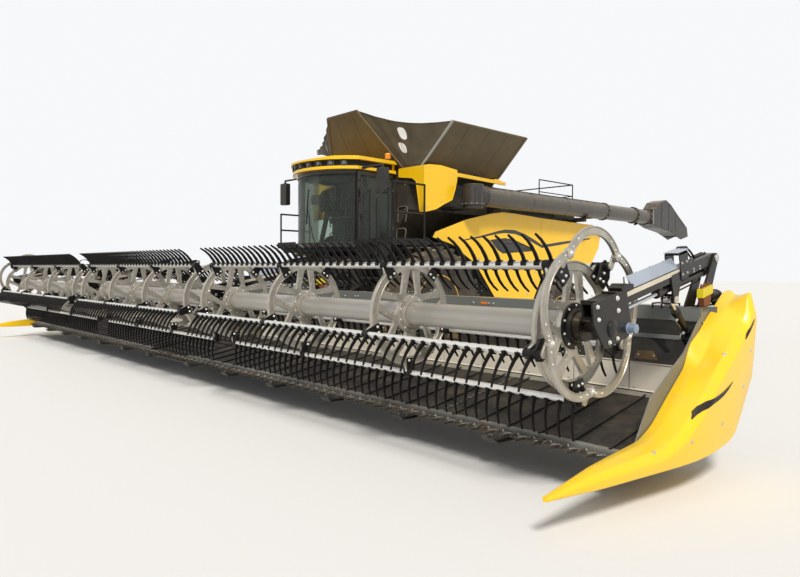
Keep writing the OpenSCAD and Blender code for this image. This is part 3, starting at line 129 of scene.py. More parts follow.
# Paint, rubber, cast iron and cloth: a colour with a slow mottle, a fine grain in gloss
# and bump, softly broken edges, and dust that settles on the faces that look up.
def finish(name, colour, rough, metal=0.0, mottle=0.12, mottle_size=3.0, grain=0.05, grain_size=90.0,
        dust=0.25, coat=0.0, drawn=(1, 1, 1), edge=0.004, sheen=0.0, shine=0.5):
    m = bpy.data.materials.new(name)
    m.use_nodes = True
    tree = m.node_tree
    place = add(tree, "TexCoord")
    stretch = add(tree, "Mapping", {"Scale": drawn, "Vector": place.outputs["Object"]})
    slow = add(tree, "TexNoise", {"Scale": mottle_size, "Detail": 6, "Roughness": 0.62, "Vector": stretch})
    shade = add(tree, "ValToRGB", {"Fac": slow})
    for stop, at, gain in zip(shade.color_ramp.elements, (0.3, 0.7), (1 - mottle, 1 + mottle)):
        stop.position = at
        stop.color = (*[min(1.0, c * gain) for c in colour], 1)
    up = add(tree, "SeparateXYZ", {0: place.outputs["Normal"]})
    settle = add(tree, "MapRange", {"Value": up.outputs["Z"], "From Min": 0.1, "From Max": 0.95,
        "To Min": 0.15 * dust, "To Max": dust})
    patch = add(tree, "TexNoise", {"Scale": 7.0, "Detail": 8, "Roughness": 0.68,
        "Vector": place.outputs["Object"]})
    spread = add(tree, "MapRange", {"Value": patch, "From Min": 0.38, "From Max": 0.68, "To Min": 0.25,
        "To Max": 1.6})
    amount = add(tree, "Math", {0: settle, 1: spread}, operation="MULTIPLY", use_clamp=True)
    dusty = add(tree, "Mix", {"Factor": amount, "A": shade, "B": (*field_dust, 1)}, data_type="RGBA")
    fine = add(tree, "TexNoise", {"Scale": grain_size, "Detail": 4, "Vector": stretch})
    gloss = add(tree, "MapRange", {"Value": fine, "To Min": max(0.03, rough - 0.08),
        "To Max": min(1.0, rough + 0.08)})
    dull = add(tree, "Math", {0: gloss, 1: amount}, operation="MAXIMUM")
    press = add(tree, "Bump", {"Strength": grain, "Distance": 0.002, "Height": fine})
    if edge:
        wire(press, {"Normal": add(tree, "Bevel", {"Radius": edge}, samples=3)})
    wire(tree.nodes["Principled BSDF"], {"Base Color": dusty.outputs["Result"], "Roughness": dull,
        "Normal": press, "Metallic": metal, "Specular IOR Level": shine, "Coat Weight": coat,
        "Coat Roughness": 0.08, "Sheen Weight": sheen})
    return m


def wear(paint, *names):
    for name in names:
        nodes[name].data.materials.clear()
        nodes[name].data.materials.append(paint)


# Sheet, bar, tube and turned shapes are worked out as points and faces, and fitted()
# joins them into one piece on the body that carries it.
def block(lo, hi):
    v = [(x, y, z) for x in (lo[0], hi[0]) for y in (lo[1], hi[1]) for z in (lo[2], hi[2])]
    return v, [(0, 1, 3, 2), (4, 6, 7, 5), (0, 4, 5, 1), (2, 3, 7, 6), (0, 2, 6, 4), (1, 5, 7, 3)]


def skin(rows, n, closed=False):
    """Faces from each row of n points to the next, and over both ends of an open form."""
    f = [(n * i + k, n * i + (k + 1) % n, n * ((i + 1) % rows) + (k + 1) % n, n * ((i + 1) % rows) + k)
        for i in range(rows if closed else rows - 1) for k in range(n)]
    return f if closed else f + [tuple(range(n - 1, -1, -1)), tuple(range(n * (rows - 1), n * rows))]


def around(n, r, start=0.0):
    """Points spaced evenly round a circle, start being a share of one step."""
    return [(r * math.cos(a), r * math.sin(a)) for a in [2 * math.pi * (k + start) / n for k in range(n)]]


def corners(a0, a1, b0, b1):
    return [(a0, b0), (a1, b0), (a1, b1), (a0, b1)]


def collar(x0, x1, r0, r1):
    """The profile of a ring that turned() makes, x0 to x1 along and r0 to r1 in radius."""
    return [(x0, r0), (x0, r1), (x1, r1), (x1, r0)]


def cut_sheet(outline, across, a, b):
    turn = {"x": (2, 0, 1), "y": (0, 2, 1), "z": (0, 1, 2)}[across]
    v = [tuple((*p, t)[i] for i in turn) for t in (a, b) for p in outline]
    return v, skin(2, len(outline))


def sweep(points, r, sides=8, closed=False):
    pts = [Vector(p) for p in points]
    n = len(pts)
    v, side = [], None
    for i, p in enumerate(pts):
        before = pts[i - 1] if i or closed else pts[0]
        after = pts[(i + 1) % n] if i < n - 1 or closed else pts[-1]
        way = (after - before).normalized()
        side = (side - way * side.dot(way) if side else way.orthogonal()).normalized()
        over = way.cross(side)
        rr = r[i] if isinstance(r, (list, tuple)) else r
        v += [tuple(p + (side * c + over * s) * rr) for c, s in around(sides, 1.0)]
    return v, skin(n, sides, closed)


def turned(at, way, profile, sides=24):
    """A lathe shape: profile holds (distance along way, radius) from one end to the other."""
    at, way = Vector(at), Vector(way).normalized()
    side = way.orthogonal().normalized()
    over = way.cross(side)
    v = [tuple(at + way * along + (side * c + over * s) * r) for along, r in profile
        for c, s in around(sides, 1.0)]
    return v, skin(len(profile), sides)


def bolt(at, out, size=0.012):
    """A hexagon head on its washer, standing out of the face at that point."""
    out = Vector(out).normalized()
    washer = turned(at, out, [(-0.001, size * 1.25), (size * 0.22, size * 1.2)], 10)
    head = turned(Vector(at) + out * size * 0.2, out, [(0, size), (size * 0.55, size),
        (size * 0.75, size * 0.75)], 6)
    return merge([washer, head])


def merge(shapes):
    v, f = [], []
    for sv, sf in shapes:
        f += [tuple(i + len(v) for i in face) for face in sf]
        v += sv
    return v, f


def mirrored(shape):
    v, f = shape
    return [(-x, y, z) for x, y, z in v], [tuple(reversed(face)) for face in f]


def both_sides(shapes):
    return shapes + [mirrored(s) for s in shapes]


def on_side(side, shapes):
    return shapes if side > 0 else [mirrored(s) for s in shapes]


def fitted(name, shapes, paint, body="machine", ease=0.0, keep=35):
    v, f = merge(shapes)
    mesh = bpy.data.meshes.new(name)
    mesh.from_pydata(v, [], f)
    work = bmesh.new()
    work.from_mesh(mesh)
    bmesh.ops.recalc_face_normals(work, faces=work.faces)
    work.to_mesh(mesh)
    work.free()
    for p in mesh.polygons:
        p.use_smooth = True
    mesh.set_sharp_from_angle(angle=math.radians(keep))
    mesh.materials.append(paint)
    piece = bpy.data.objects.new(name, mesh)
    bpy.context.scene.collection.objects.link(piece)
    if ease:
        broken = piece.modifiers.new("broken edge", "BEVEL")
        broken.width = ease
        broken.segments = 2
        broken.limit_method = "ANGLE"
        broken.angle_limit = math.radians(30)
        broken.harden_normals = True
    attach(piece, body)
    return piece


front_axle_at = -2.300
panel_face = 1.650
yellow = finish("yellow panel enamel", srgb(248, 196, 4), 0.32, coat=0.28, mottle=0.035,
    mottle_size=1.2, dust=0.08, edge=0.006)
black_trim = finish("black trim paint", srgb(16, 16, 17), 0.45, dust=0.10, shine=0.25)
zinc = finish("zinc plated steel", srgb(196, 196, 190), 0.34, metal=0.75, dust=0.12, mottle=0.08,
    grain_size=260)
reel_at = Vector((0, -6.550, 1.250))


# A piece can carry a second colour where the places given hold, worked out from where
# each point lies when the machine stands at rest: (centre, half width) along X, along Z
# or outwards from the reel's axis. On most pieces that colour is a second paint; in the
# yellow panels' recesses it is painted shade.
def second_paint_and_shade(paint, name, node, colour, x=None, z=None, out=None):
    m = paint.copy()
    m.name = name
    tree = m.node_tree
    place = add(tree, "TexCoord")
    rest = add(tree, "Mapping", {"Location": nodes[node].matrix_world.translation,
        "Vector": place.outputs["Object"]})
    split = add(tree, "SeparateXYZ", {0: rest})
    flat = add(tree, "CombineXYZ", {"Y": split.outputs["Y"], "Z": split.outputs["Z"]})
    radial = add(tree, "VectorMath", {0: flat, 1: (0, reel_at.y, reel_at.z)}, operation="DISTANCE")
    share = None
    for span, at in ((x, split.outputs["X"]), (z, split.outputs["Z"]), (out, radial.outputs["Value"])):
        if span:
            near = add(tree, "Math", {0: at, 1: span[0], 2: span[1]}, operation="COMPARE")
            share = add(tree, "Math", {0: share, 1: near}, operation="MULTIPLY") if share else near
    dusty = tree.nodes["Principled BSDF"].inputs["Base Color"].links[0].from_node
    swap = add(tree, "Mix", {"Factor": share, "A": dusty.inputs["A"].links[0].from_socket,
        "B": (*colour, 1)}, data_type="RGBA")
    wire(dusty, {"A": swap.outputs["Result"]})
    wear(m, node)


wear(yellow, "tank_cheeks")
# Everything more than 8.5 mm inside the panels' outer face, the pressed stripes, louvre bottoms and folded
# inner edges, is painted near-black: painted shade in the recesses.
for node in ("fixed_panels", "side_panel_left", "side_panel_right"):
    second_paint_and_shade(yellow, "yellow panel with painted shade in its recesses", node, srgb(26, 25, 26),
        x=(0, panel_face - 0.0085))
pocket_mesh = [sweep([(1.6235, -0.30 + 0.9 * abs(z - 2.16), z), (1.6235, 0.52, z)], 0.002, 6)
    for z in [2.035 + 0.028 * k for k in range(9)]]
latches = [turned((panel_face - 0.002, y, z), (1, 0, 0), [(0, 0.022), (0.006, 0.022), (0.008, 0.016),
    (0.004, 0.014), (0.004, 0)], 20) for y, z in ((0.86, 1.62), (0.60, 1.16), (-0.95, 1.86),
    (0.90, 2.66), (0.02, 2.70))]
for side, word in ((1, "left"), (-1, "right")):
    for name, shapes in (("panel_latches_", latches), ("louvre_wires_", pocket_mesh)):
        fitted(name + word, on_side(side, shapes), zinc, "side_panel_" + word)
seam_bolts = [bolt((panel_face - 0.001, y, z), (1, 0, 0), 0.010)
    for y, z in ((1.16, 1.75), (1.16, 2.66), (3.20, 2.10), (3.30, 2.45), (2.2, 2.66), (2.0, 1.86),
    (-2.36, 3.45), (-2.36, 2.76), (-1.66, 3.40), (-1.70, 3.06), (-2.0, 2.88), (-0.9, 3.41),
    (-0.25, 3.375))]
fitted("panel_screws", both_sides(seam_bolts), zinc)

# The cheeks beside the tank are one pressing each: a lip folded round the front corner
# and a bead that follows the lower edge.
cheek_low = [(-2.44, 2.672), (-2.34, 2.69), (-2.14, 2.737), (-1.93, 2.842), (-1.722, 2.93),
    (-1.642, 3.12), (-1.592, 3.305), (-1.592, 3.48)]
bead = sweep([(panel_face - 0.002, y, z) for y, z in cheek_low], 0.009, 8)
fold = sweep([(panel_face - 0.006, -2.434, z) for z in (2.675, 2.9, 3.1, 3.3, 3.486)], 0.011, 10)
under_fold = sweep([(1.547, -2.438, 2.674), (1.472, -2.438, 3.06), (1.442, -2.438, 3.225),
    (1.342, -2.438, 3.290), (0.985, -2.438, 3.338)], 0.008, 8)
fitted("cheek_beads", both_sides([bead, fold, under_fold]), yellow)

# CHASSIS, AXLES AND DECKS
# Rails, cross members and axle beams are welded from thick plate and sprayed black.
# Grease, straw dust and soil dull them, most of all low down.
frame_black = finish("black chassis paint", srgb(40, 40, 42), 0.5, dust=0.4, mottle=0.2, mottle_size=5,
    edge=0.005)
wear(frame_black, "chassis_frame", "front_axle", "rear_axle", "service_deck", "knuckle_left",
    "knuckle_right", "auger_base")
axle_z, kingpin_x, rear_axle_at, rear_axle_z = 1.030, 1.08, 1.800, 0.745
hub_bolts = []
for dy, dz in around(12, 0.20):
    hub_bolts += [bolt((x, front_axle_at + dy, axle_z + dz), (1, 0, 0), size)
        for x, size in ((1.334, 0.014), (1.602, 0.012))]
case_bolts = [bolt((0.16 * c, front_axle_at + s * 0.232, axle_z + 0.128 * up), (0, s, 0), 0.013)
    for s in (-1, 1) for c, up in around(8, 1.0) if abs(c) < 0.8]
fitted("axle_bolts", both_sides(hub_bolts) + case_bolts, frame_black)
rail_bolts = [bolt((0.801, y, z), (1, 0, 0), 0.015) for y in (-2.9, -2.75, -2.3, -2.15, 0.0, 0.15, 1.70,
    1.90, 2.5, 2.62) for z in (1.22, 1.32)]
fitted("rail_bolts", both_sides(rail_bolts), zinc)
brake_line = [(0.83, -2.95, 1.36), (0.83, -1.8, 1.37), (0.83, -0.6, 1.36), (0.83, 0.8, 1.37),
    (0.83, 1.6, 1.36), (0.83, 2.4, 1.36)]
steel_pipe = finish("drawn steel pipe", srgb(120, 118, 110), 0.35, metal=0.7, dust=0.3)
fitted("brake_pipes", both_sides([sweep([(x + d * 5.5, y, z + d) for x, y, z in brake_line], 0.009, 8)
    for d in (0, 0.004)]), steel_pipe)
kingpin_caps = [turned((kingpin_x, rear_axle_at, rear_axle_z + 0.128), (0, 0, 1),
    [(0, 0.062), (0.012, 0.062), (0.02, 0.05), (0.022, 0.0)], 20)]
kingpin_caps += [bolt((kingpin_x + 0.045 * math.cos(a), rear_axle_at + 0.045 * math.sin(a),
    rear_axle_z + 0.139), (0, 0, 1), 0.008) for a in (0.5, 2.07, 3.64, 5.21)]
fitted("kingpin_caps", both_sides(kingpin_caps), frame_black)

# THRESHING BODY
# The sheet-metal case round the rotors, folded from plate and painted dark grey, with
# pressed ribs, inspection covers and their wing bolts.
case_paint = finish("dark grey body paint", srgb(56, 55, 51), 0.5, dust=0.38, mottle=0.18)
wear(case_paint, "threshing_body")
body_ribs = [block((0.719, y - 0.02, 1.36), (0.742, y + 0.02, 2.07))
    for y in (-2.2, -1.5, -0.8, -0.1, 0.6, 1.3, 2.0, 2.6)]
cover_ys = (-1.15, 0.25, 1.65)
covers = [block((0.719, y - 0.24, 1.48), (0.735, y + 0.24, 1.95)) for y in cover_ys]
fitted("body_ribs", both_sides(body_ribs + covers), case_paint, ease=0.006)
wing = [bolt((0.734, y + dy, z), (1, 0, 0), 0.012) for y in cover_ys for dy in (-0.2, 0.2)
    for z in (1.52, 1.91)]
fitted("cover_bolts", both_sides(wing), zinc)
guard_paint = finish("grey guard paint", srgb(104, 106, 106), 0.45, dust=0.35)
belts = finish("drive belt rubber", srgb(24, 24, 25), 0.6, dust=0.3, grain=0.2)
sheave = [turned((0.76, y, z), (1, 0, 0), [(0, 0.05), (0.0, r), (0.018, r), (0.024, r * 0.9),
    (0.05, r * 0.9), (0.056, r), (0.074, r), (0.075, r * 0.35), (0.12, r * 0.3), (0.12, 0.04)], 40)
    for y, z, r in ((-1.80, 1.62, 0.24), (-0.35, 1.70, 0.17), (0.95, 1.62, 0.22))]
fitted("drive_pulleys", both_sides(sheave), guard_paint)


def belt_round(x, a, b, ra, rb, w):
    (ya, za), (yb, zb) = a, b
    t = math.atan2(zb - za, yb - ya)
    lean = math.acos(max(-1, min(1, (ra - rb) / math.hypot(yb - ya, zb - za))))
    path = []
    for (cy, cz), r, first, turn in ((a, ra, lean, 2 * math.pi - 2 * lean), (b, rb, -lean, 2 * lean)):
        path += [(cy + r * math.cos(t + first + turn * k / 12),
            cz + r * math.sin(t + first + turn * k / 12)) for k in range(13)]
    v = []
    cy, cz = (ya + yb) / 2, (za + zb) / 2
    for y, z in path:
        d = math.hypot(y - cy, z - cz)
        v += [(xx, y + (y - cy) / d * grow, z + (z - cz) / d * grow)
            for xx, grow in corners(x, x + w, 0, 0.012)]
    return v, skin(len(path), 4, closed=True)


fitted("drive_belts", both_sides([belt_round(0.784, (-1.80, 1.62), (-0.35, 1.70), 0.216, 0.153, 0.026),
    belt_round(0.812, (-0.35, 1.70), (0.95, 1.62), 0.153, 0.198, 0.024)]), belts)

# WHEELS
# Front tyres carry deep chevron lugs on a black casing; the rims are pressed steel in
# the machine's yellow. Soil and dust stay on the tread and in the corners of the lugs.
tyre_rubber = finish("tyre rubber", srgb(36, 36, 36), 0.82, dust=0.55, grain=0.25, grain_size=160,
    mottle=0.2, mottle_size=6, edge=0.008)
rim_yellow = finish("rim enamel", srgb(232, 180, 28), 0.4, dust=0.35, mottle=0.08, coat=0.3)
wear(tyre_rubber, "front_tyre_left", "front_tyre_right", "rear_tyre_left", "rear_tyre_right")
wear(rim_yellow, "front_rim_left", "front_rim_right", "rear_rim_left", "rear_rim_right")


def wheel_trim(side, wheel, middle_x, y, z, disc_out, hub_r, rim_r, tyre_half, studs):
    out = (side, 0, 0)
    face = side * (middle_x + disc_out)
    nuts = [bolt((face + side * 0.054, y + dy, z + dz), out, 0.016)
        for dy, dz in around(studs, hub_r * 0.80, 0.5)]
    fitted(wheel + "_nuts", nuts, zinc, wheel)
    cap = turned((face + side * 0.054, y, z), out, [(0, hub_r * 0.60), (0.03, hub_r * 0.60),
        (0.05, hub_r * 0.52), (0.056, hub_r * 0.45), (0.058, 0.0)], 32)
    fitted(wheel + "_hub_cap", [cap], frame_black, wheel)
    beads = [turned((side * (middle_x + s * tyre_half * 0.80), y, z), (side * s, 0, 0),
        [(-0.012, rim_r + 0.004), (0.004, rim_r + 0.016), (0.012, rim_r + 0.032),
        (0.010, rim_r + 0.055), (-0.015, rim_r + 0.07)], 72) for s in (-1, 1)]
    fitted(wheel + "_bead_rings", beads, tyre_rubber, wheel, keep=60)
    a = math.radians(70)
    stem = [(face + side * d, y + (rim_r - r) * math.cos(a), z + (rim_r - r) * math.sin(a))
        for d, r in ((0.02, 0.06), (0.06, 0.075), (0.09, 0.10))]
    fitted(wheel + "_valve", [sweep(stem, 0.007, 8)], zinc, wheel)
    marks = []
    r0, r1 = rim_r + 0.10, rim_r + 0.17
    x = side * (middle_x + tyre_half * 0.985)
    for c, s in around(48, 1.0):
        marks.append(([(x + side * d, y + r * c - w * s, z + r * s + w * c)
            for d, r, w in ((0, r0, 0.004), (0, r0, -0.004), (0, r1, -0.004), (0, r1, 0.004),
            (0.004, r0 + 0.01, 0), (0.006, r1 - 0.01, 0))], [(0, 1, 4), (1, 2, 5, 4), (2, 3, 5),
            (3, 0, 4, 5)]))
    fitted(wheel + "_sidewall_ribs", marks, tyre_rubber, wheel)


for side, word in ((1, "left"), (-1, "right")):
    wheel_trim(side, "front_wheel_" + word, 1.60, front_axle_at, axle_z, 0.060, 0.190, 0.535, 0.380, 12)
    wheel_trim(side, "rear_wheel_" + word, 1.46, rear_axle_at, rear_axle_z, 0.040, 0.130, 0.3555, 0.295, 10)

# GRAIN TANK
# An open tank folded from dark painted sheet, with pressed ribs on its walls, ridge
# covers over the cross screws in its floor and the filling screw that feeds it.
tank_paint = finish("dark tank paint", srgb(52, 49, 42), 0.5, dust=0.35, mottle=0.15)
wear(tank_paint, "grain_tank")
straw_steel = finish("grain worn steel", srgb(150, 143, 128), 0.35, metal=0.7, dust=0.3)
inside_ribs = [block((x - 0.02, y, 2.80), (x + 0.02, y + 0.018, 3.28))
    for x in (-0.9, -0.6, -0.3, 0.0, 0.3, 0.6, 0.9) for y in (-2.341, -0.207)]
inside_ribs += both_sides([block((1.122, y - 0.02, 2.80), (1.141, y + 0.02, 3.25))
    for y in (-2.0, -1.6, -1.2, -0.8, -0.4)])
fitted("tank_inside_ribs", inside_ribs, tank_paint, ease=0.005)
ridges = [cut_sheet([(x - 0.27, 2.30), (x + 0.27, 2.30), (x + 0.25, 2.315), (x, 2.56),
    (x - 0.25, 2.315)], "y", -2.33, -0.20) for x in (-0.32, 0.32)]
ridges += [block((-0.60, y - 0.012, 2.19), (0.60, y + 0.012, 2.33)) for y in (-2.2, -1.6, -1.0, -0.4)]
fitted("cross_screw_covers", ridges, straw_steel)
fill_way = Vector((0.35, 1.0, 1.05)).normalized()
fill_foot = Vector((-0.45, -2.0, 2.42))
fill_tube = turned(fill_foot, fill_way, [(0, 0.05), (0, 0.15), (1.25, 0.15), (1.25, 0.142),
    (0.02, 0.142), (0.02, 0.05)], 32)
fitted("filling_screw_tube", [fill_tube], tank_paint, keep=50)
side_way = fill_way.orthogonal().normalized()
over_way = fill_way.cross(side_way)
flight = []
turns = 61
for k in range(turns):
    a = 2 * math.pi * k / 15
    at = fill_foot + fill_way * (1.02 + 0.42 * k / (turns - 1))
    out = side_way * math.cos(a) + over_way * math.sin(a)
    flight += [tuple(at + out * r + fill_way * up) for r, up in corners(0.03, 0.132, 0, 0.006)]
fitted("filling_screw", [(flight, skin(turns, 4)), turned(fill_foot + fill_way * 0.1, fill_way,
    [(0, 0.03), (1.38, 0.03), (1.39, 0.0)], 16)], straw_steel, keep=40)
tank_screws = [bolt((x, -2.381, z), (0, -1, 0), 0.010) for x in (-1.1, -0.8, -0.4, 0, 0.4, 0.8, 1.1)
    for z in (2.75, 3.20)]
fitted("tank_front_screws", tank_screws, zinc)

# TANK COVERS
# Four hinged covers that spread over the open tank. Each is a folded sheet in a brown
# olive paint, with turned edges, low pressed ribs and knuckles round its hinge tube.
cover_paint = finish("olive cover paint", srgb(88, 74, 44), 0.55, dust=0.3, mottle=0.2, mottle_size=1.6,
    grain=0.12)
wear(cover_paint, "tank_covers")
hinge_z = 3.4803
twin_ends = -2.53  # what the Y of a point and of its twin at the tank's other end add up to


# Points on the front cover: u across, h up its slope, o out from its middle plane.
def on_front_cover(u, h, o):
    return (u, -2.35 - 0.51567 * h - 0.8568 * o, hinge_z + 0.8568 * h - 0.51567 * o)


def on_rear_cover(u, h, o):
    x, y, z = on_front_cover(u, h, o)
    return x, twin_ends - y, z


def on_left_cover(u, h, o):
    return 1.47 + 0.56921 * h + 0.8222 * o, -1.265 + u, hinge_z + 0.8222 * h - 0.56921 * o


def laid(outline, place, a, b):
    return [place(u, h, o) for o in (a, b) for u, h in outline], skin(2, len(outline))


def strip(place, p, q, w, a, b):
    d = Vector((q[0] - p[0], q[1] - p[1])).normalized() * w / 2
    return laid([(p[0] - d.y, p[1] + d.x), (q[0] - d.y, q[1] + d.x), (q[0] + d.y, q[1] - d.x),
        (p[0] + d.y, p[1] - d.x)], place, a, b)


end_ribs, knuckles = [], []
knuckle = collar(0, 0.12, 0.019, 0.027)
for place in (on_front_cover, on_rear_cover):
    end_ribs += [strip(place, (s * 1.01, 0.05), (s * 0.435, 1.24), 0.04, 0.014, 0.026) for s in (-1, 1)]
    end_ribs.append(strip(place, (-0.42, 1.235), (0.42, 1.235), 0.04, 0.014, 0.026))
    end_ribs += [strip(place, (u, 0.07), (u * 0.8, 1.21), 0.05, 0.014, 0.019) for u in (-0.30, 0.30)]
    for u in (-0.85, -0.30, 0.30, 0.85):
        knuckles.append(turned(place(u - 0.06, 0, 0), (1, 0, 0), knuckle, 16))
        knuckles += [strip(place, (u + d, 0.02), (u + d, 0.16), 0.035, 0.014, 0.020) for d in (-0.05, 0.05)]
side_ribs = [strip(on_left_cover, (-1.05, 0.04), (-0.83, 0.93), 0.035, 0.014, 0.024),
    strip(on_left_cover, (1.05, 0.04), (1.27, 0.93), 0.035, 0.014, 0.024),
    strip(on_left_cover, (-0.82, 0.925), (1.28, 0.925), 0.04, 0.014, 0.026)]
side_ribs += [strip(on_left_cover, (u, 0.07), (u + 0.21, 0.90), 0.06, 0.014, 0.020)
    for u in (-0.55, 0.0, 0.55)]
for u in (-0.8, -0.2, 0.4, 0.95):
    knuckles += both_sides([turned(on_left_cover(u - 0.06, 0, 0), (0, 1, 0), knuckle, 16)])
fitted("cover_ribs", end_ribs + both_sides(side_ribs), cover_paint, ease=0.003)
fitted("cover_knuckles", knuckles, black_trim, ease=0.002)

# TANK CANVAS
# Four corners of heavy waterproof canvas join the covers and fold in when they close.
# They hang between the covers from screwed battens, sag at the hem, and each front one
# has two white oval windows sewn in.
canvas_cloth = finish("waxed tank canvas", srgb(68, 60, 42), 0.8, grain=0.35, grain_size=420, dust=0.25,
    mottle=0.2, mottle_size=2.2, sheen=0.15, edge=0)
window_sheet = finish("white window sheet", srgb(226, 228, 224), 0.35, dust=0.12, edge=0)
batten_steel = finish("batten steel", srgb(150, 148, 140), 0.4, metal=0.6, dust=0.2)


def canvas_point(t, u):
    end_low = Vector(on_front_cover(0.99, 0.045, -0.021))
    end_high = Vector(on_front_cover(0.42, 1.235, -0.021))
    side_low = Vector(on_left_cover(-1.045, 0.05, -0.021))
    side_high = Vector(on_left_cover(-0.825, 0.925, -0.021))
    foot = end_low.lerp(side_low, t)
    hem = end_high.lerp(side_high, t)
    hem.z -= 0.12 * math.sin(math.pi * t)
    return foot.lerp(hem, u)


def canvas_normal(t, u):
    e = 0.01
    dt = canvas_point(min(1, t + e), u) - canvas_point(max(0, t - e), u)
    du = canvas_point(t, min(1, u + e)) - canvas_point(t, max(0, u - e))
    return dt.cross(du).normalized(), dt.normalized(), du.normalized()


def canvas_surface(t, u):
    slack = math.sin(math.pi * t)
    folds = 0.013 * math.sin(10.5 * math.pi * t + 1.3 * u) * (0.25 + u) ** 1.5
    folds += 0.007 * math.sin(4.5 * math.pi * t - 5.0 * u + 0.6) + 0.004 * math.sin(23 * t + 9 * u)
    belly = 0.030 * math.sin(math.pi * u)
    out = canvas_normal(t, u)[0]
    return canvas_point(t, u) + out * (slack ** 0.7 * folds * 0.8 - slack * belly)


def sheet_faces(rows, across):
    return [(i, i + 1, i + across + 1, i + across) for j in range(rows - 1)
        for i in range(j * across, (j + 1) * across - 1)]


def canvas_mesh(cols, rows):
    v = [tuple(canvas_surface(i / cols, j / rows)) for j in range(rows + 1) for i in range(cols + 1)]
    return v, sheet_faces(rows + 1, cols + 1)


def turned_over(shape, sx, sy):
    v, f = shape
    v = [(sx * x, y if sy > 0 else twin_ends - y, z) for x, y, z in v]
    return v, (f if sx * sy > 0 else [tuple(reversed(face)) for face in f])


canvas_cols, canvas_rows = 46, 34
sheet_grid = canvas_mesh(canvas_cols, canvas_rows)
hem_rope = sweep([canvas_surface(k / canvas_cols, 1.0) for k in range(canvas_cols + 1)], 0.009, 8)
battens, batten_screws = [], []
for place, count, reach, u0, du, out in ((on_front_cover, 12, 1.14, 0.985, -0.478, (0, 0.8568, 0.5157)),
        (on_left_cover, 9, 0.85, -1.048, 0.252, (-0.8222, 0, 0.5692))):
    for k in range(count):
        h0, h1, hs = [0.06 + reach * (k + j) / count for j in (0, 1)] + [0.11 + reach * k / count]
        battens.append(strip(place, (u0 + du * h0, h0), (u0 + du * h1, h1), 0.030, -0.0265, -0.0225))
        batten_screws.append(bolt(place(u0 + du * hs, hs, -0.026), out, 0.006))


def oval_window(t0, u0, half_w, half_h):
    out, across, up = canvas_normal(t0, u0)
    up = (up - across * up.dot(across)).normalized()
    step_t = (canvas_point(t0 + 0.05, u0) - canvas_point(t0 - 0.05, u0)).length / 0.1
    step_u = (canvas_point(t0, u0 + 0.05) - canvas_point(t0, u0 - 0.05)).length / 0.1
    v, f = [], []
    rings, spokes = 6, 36
    for lift in (0.0035, -0.0035):
        for r in range(rings + 1):
            for k in range(spokes):
                a = 2 * math.pi * k / spokes
                ca, sa = math.cos(a), math.sin(a)
                w = half_w * math.copysign(abs(ca) ** 0.7, ca) * r / rings
                h = half_h * math.copysign(abs(sa) ** 0.8, sa) * r / rings
                p = canvas_surface(t0 + w / step_t, u0 + h / step_u)
                v.append(tuple(p + out * lift))
    half = (rings + 1) * spokes
    for r in range(rings):
        for k in range(spokes):
            m = (k + 1) % spokes
            a, b = r * spokes, (r + 1) * spokes
            f.append((a + k, a + m, b + m, b + k))
            f.append((half + a + m, half + a + k, half + b + k, half + b + m))
    for k in range(spokes):
        m = (k + 1) % spokes
        f.append((rings * spokes + k, rings * spokes + m, half + rings * spokes + m,
            half + rings * spokes + k))
    return v, f


for word, sx, sy in (("front_left", 1, 1), ("front_right", -1, 1), ("rear_left", 1, -1),
        ("rear_right", -1, -1)):
    cloth = fitted("tank_canvas_" + word, [turned_over(sheet_grid, sx, sy)], canvas_cloth, keep=180)
    thick = cloth.modifiers.new("canvas thickness", "SOLIDIFY")
    thick.thickness = 0.004
    thick.offset = 0
    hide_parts("tank_gussets")
    rope = fitted("canvas_hem_" + word, [turned_over(hem_rope, sx, sy)], canvas_cloth)
    fitted("canvas_battens_" + word, [turned_over(s, sx, sy) for s in battens], batten_steel)
    fitted("batten_screws_" + word, [turned_over(s, sx, sy) for s in batten_screws], zinc)
    if sy > 0:
        windows = [oval_window(0.45, 0.74, 0.072, 0.112), oval_window(0.37, 0.40, 0.070, 0.100)]
        fitted("canvas_windows_" + word, [turned_over(s, sx, sy) for s in windows], window_sheet)

# The side covers' front and rear edges are closed by a bright angle strip that shows as
# a thin pale line beside the canvas.
edge_angles = [strip(on_left_cover, (-1.082, 0.03), (-0.842, 0.945), 0.022, -0.017, 0.028),
    strip(on_left_cover, (1.082, 0.03), (1.302, 0.945), 0.022, -0.017, 0.028)]
fitted("cover_edge_angles", both_sides(edge_angles), batten_steel)

# ENGINE HOOD
# Dark sheet-steel housing over the engine at the machine's rear, with cooling slats in
# its sides and rear, a wire screen on its right, lifting handles, and the exhaust.
hood_paint = finish("dark hood paint", srgb(44, 43, 41), 0.48, dust=0.4, mottle=0.15)
wear(hood_paint, "engine_hood")
wear(finish("engine casting grey", srgb(84, 84, 82), 0.6, dust=0.3), "engine_block")
side_slats = [block((1.479, 0.30, 2.84 + 0.028 * k), (1.490, 1.75, 2.852 + 0.028 * k)) for k in range(9)]
side_slats += [block((1.479, y, 2.82), (1.487, y + 0.04, 3.10)) for y in (0.26, 1.75)]
fitted("hood_side_slats", both_sides(side_slats), black_trim, ease=0.002)
rear_slats = [block((-1.15, 2.6995, 2.25 + 0.05 * k), (1.15, 2.712, 2.272 + 0.05 * k))
    for k in range(10)]
fitted("hood_rear_slats", rear_slats, black_trim, ease=0.002)
hatch = [cut_sheet(corners(-1.30, -0.10, 0.10, 2.10), "z", 3.149, 3.162),
    cut_sheet(corners(0.10, 1.30, 0.90, 2.10), "z", 3.149, 3.162)]
fitted("hood_hatches", hatch, hood_paint, ease=0.008)
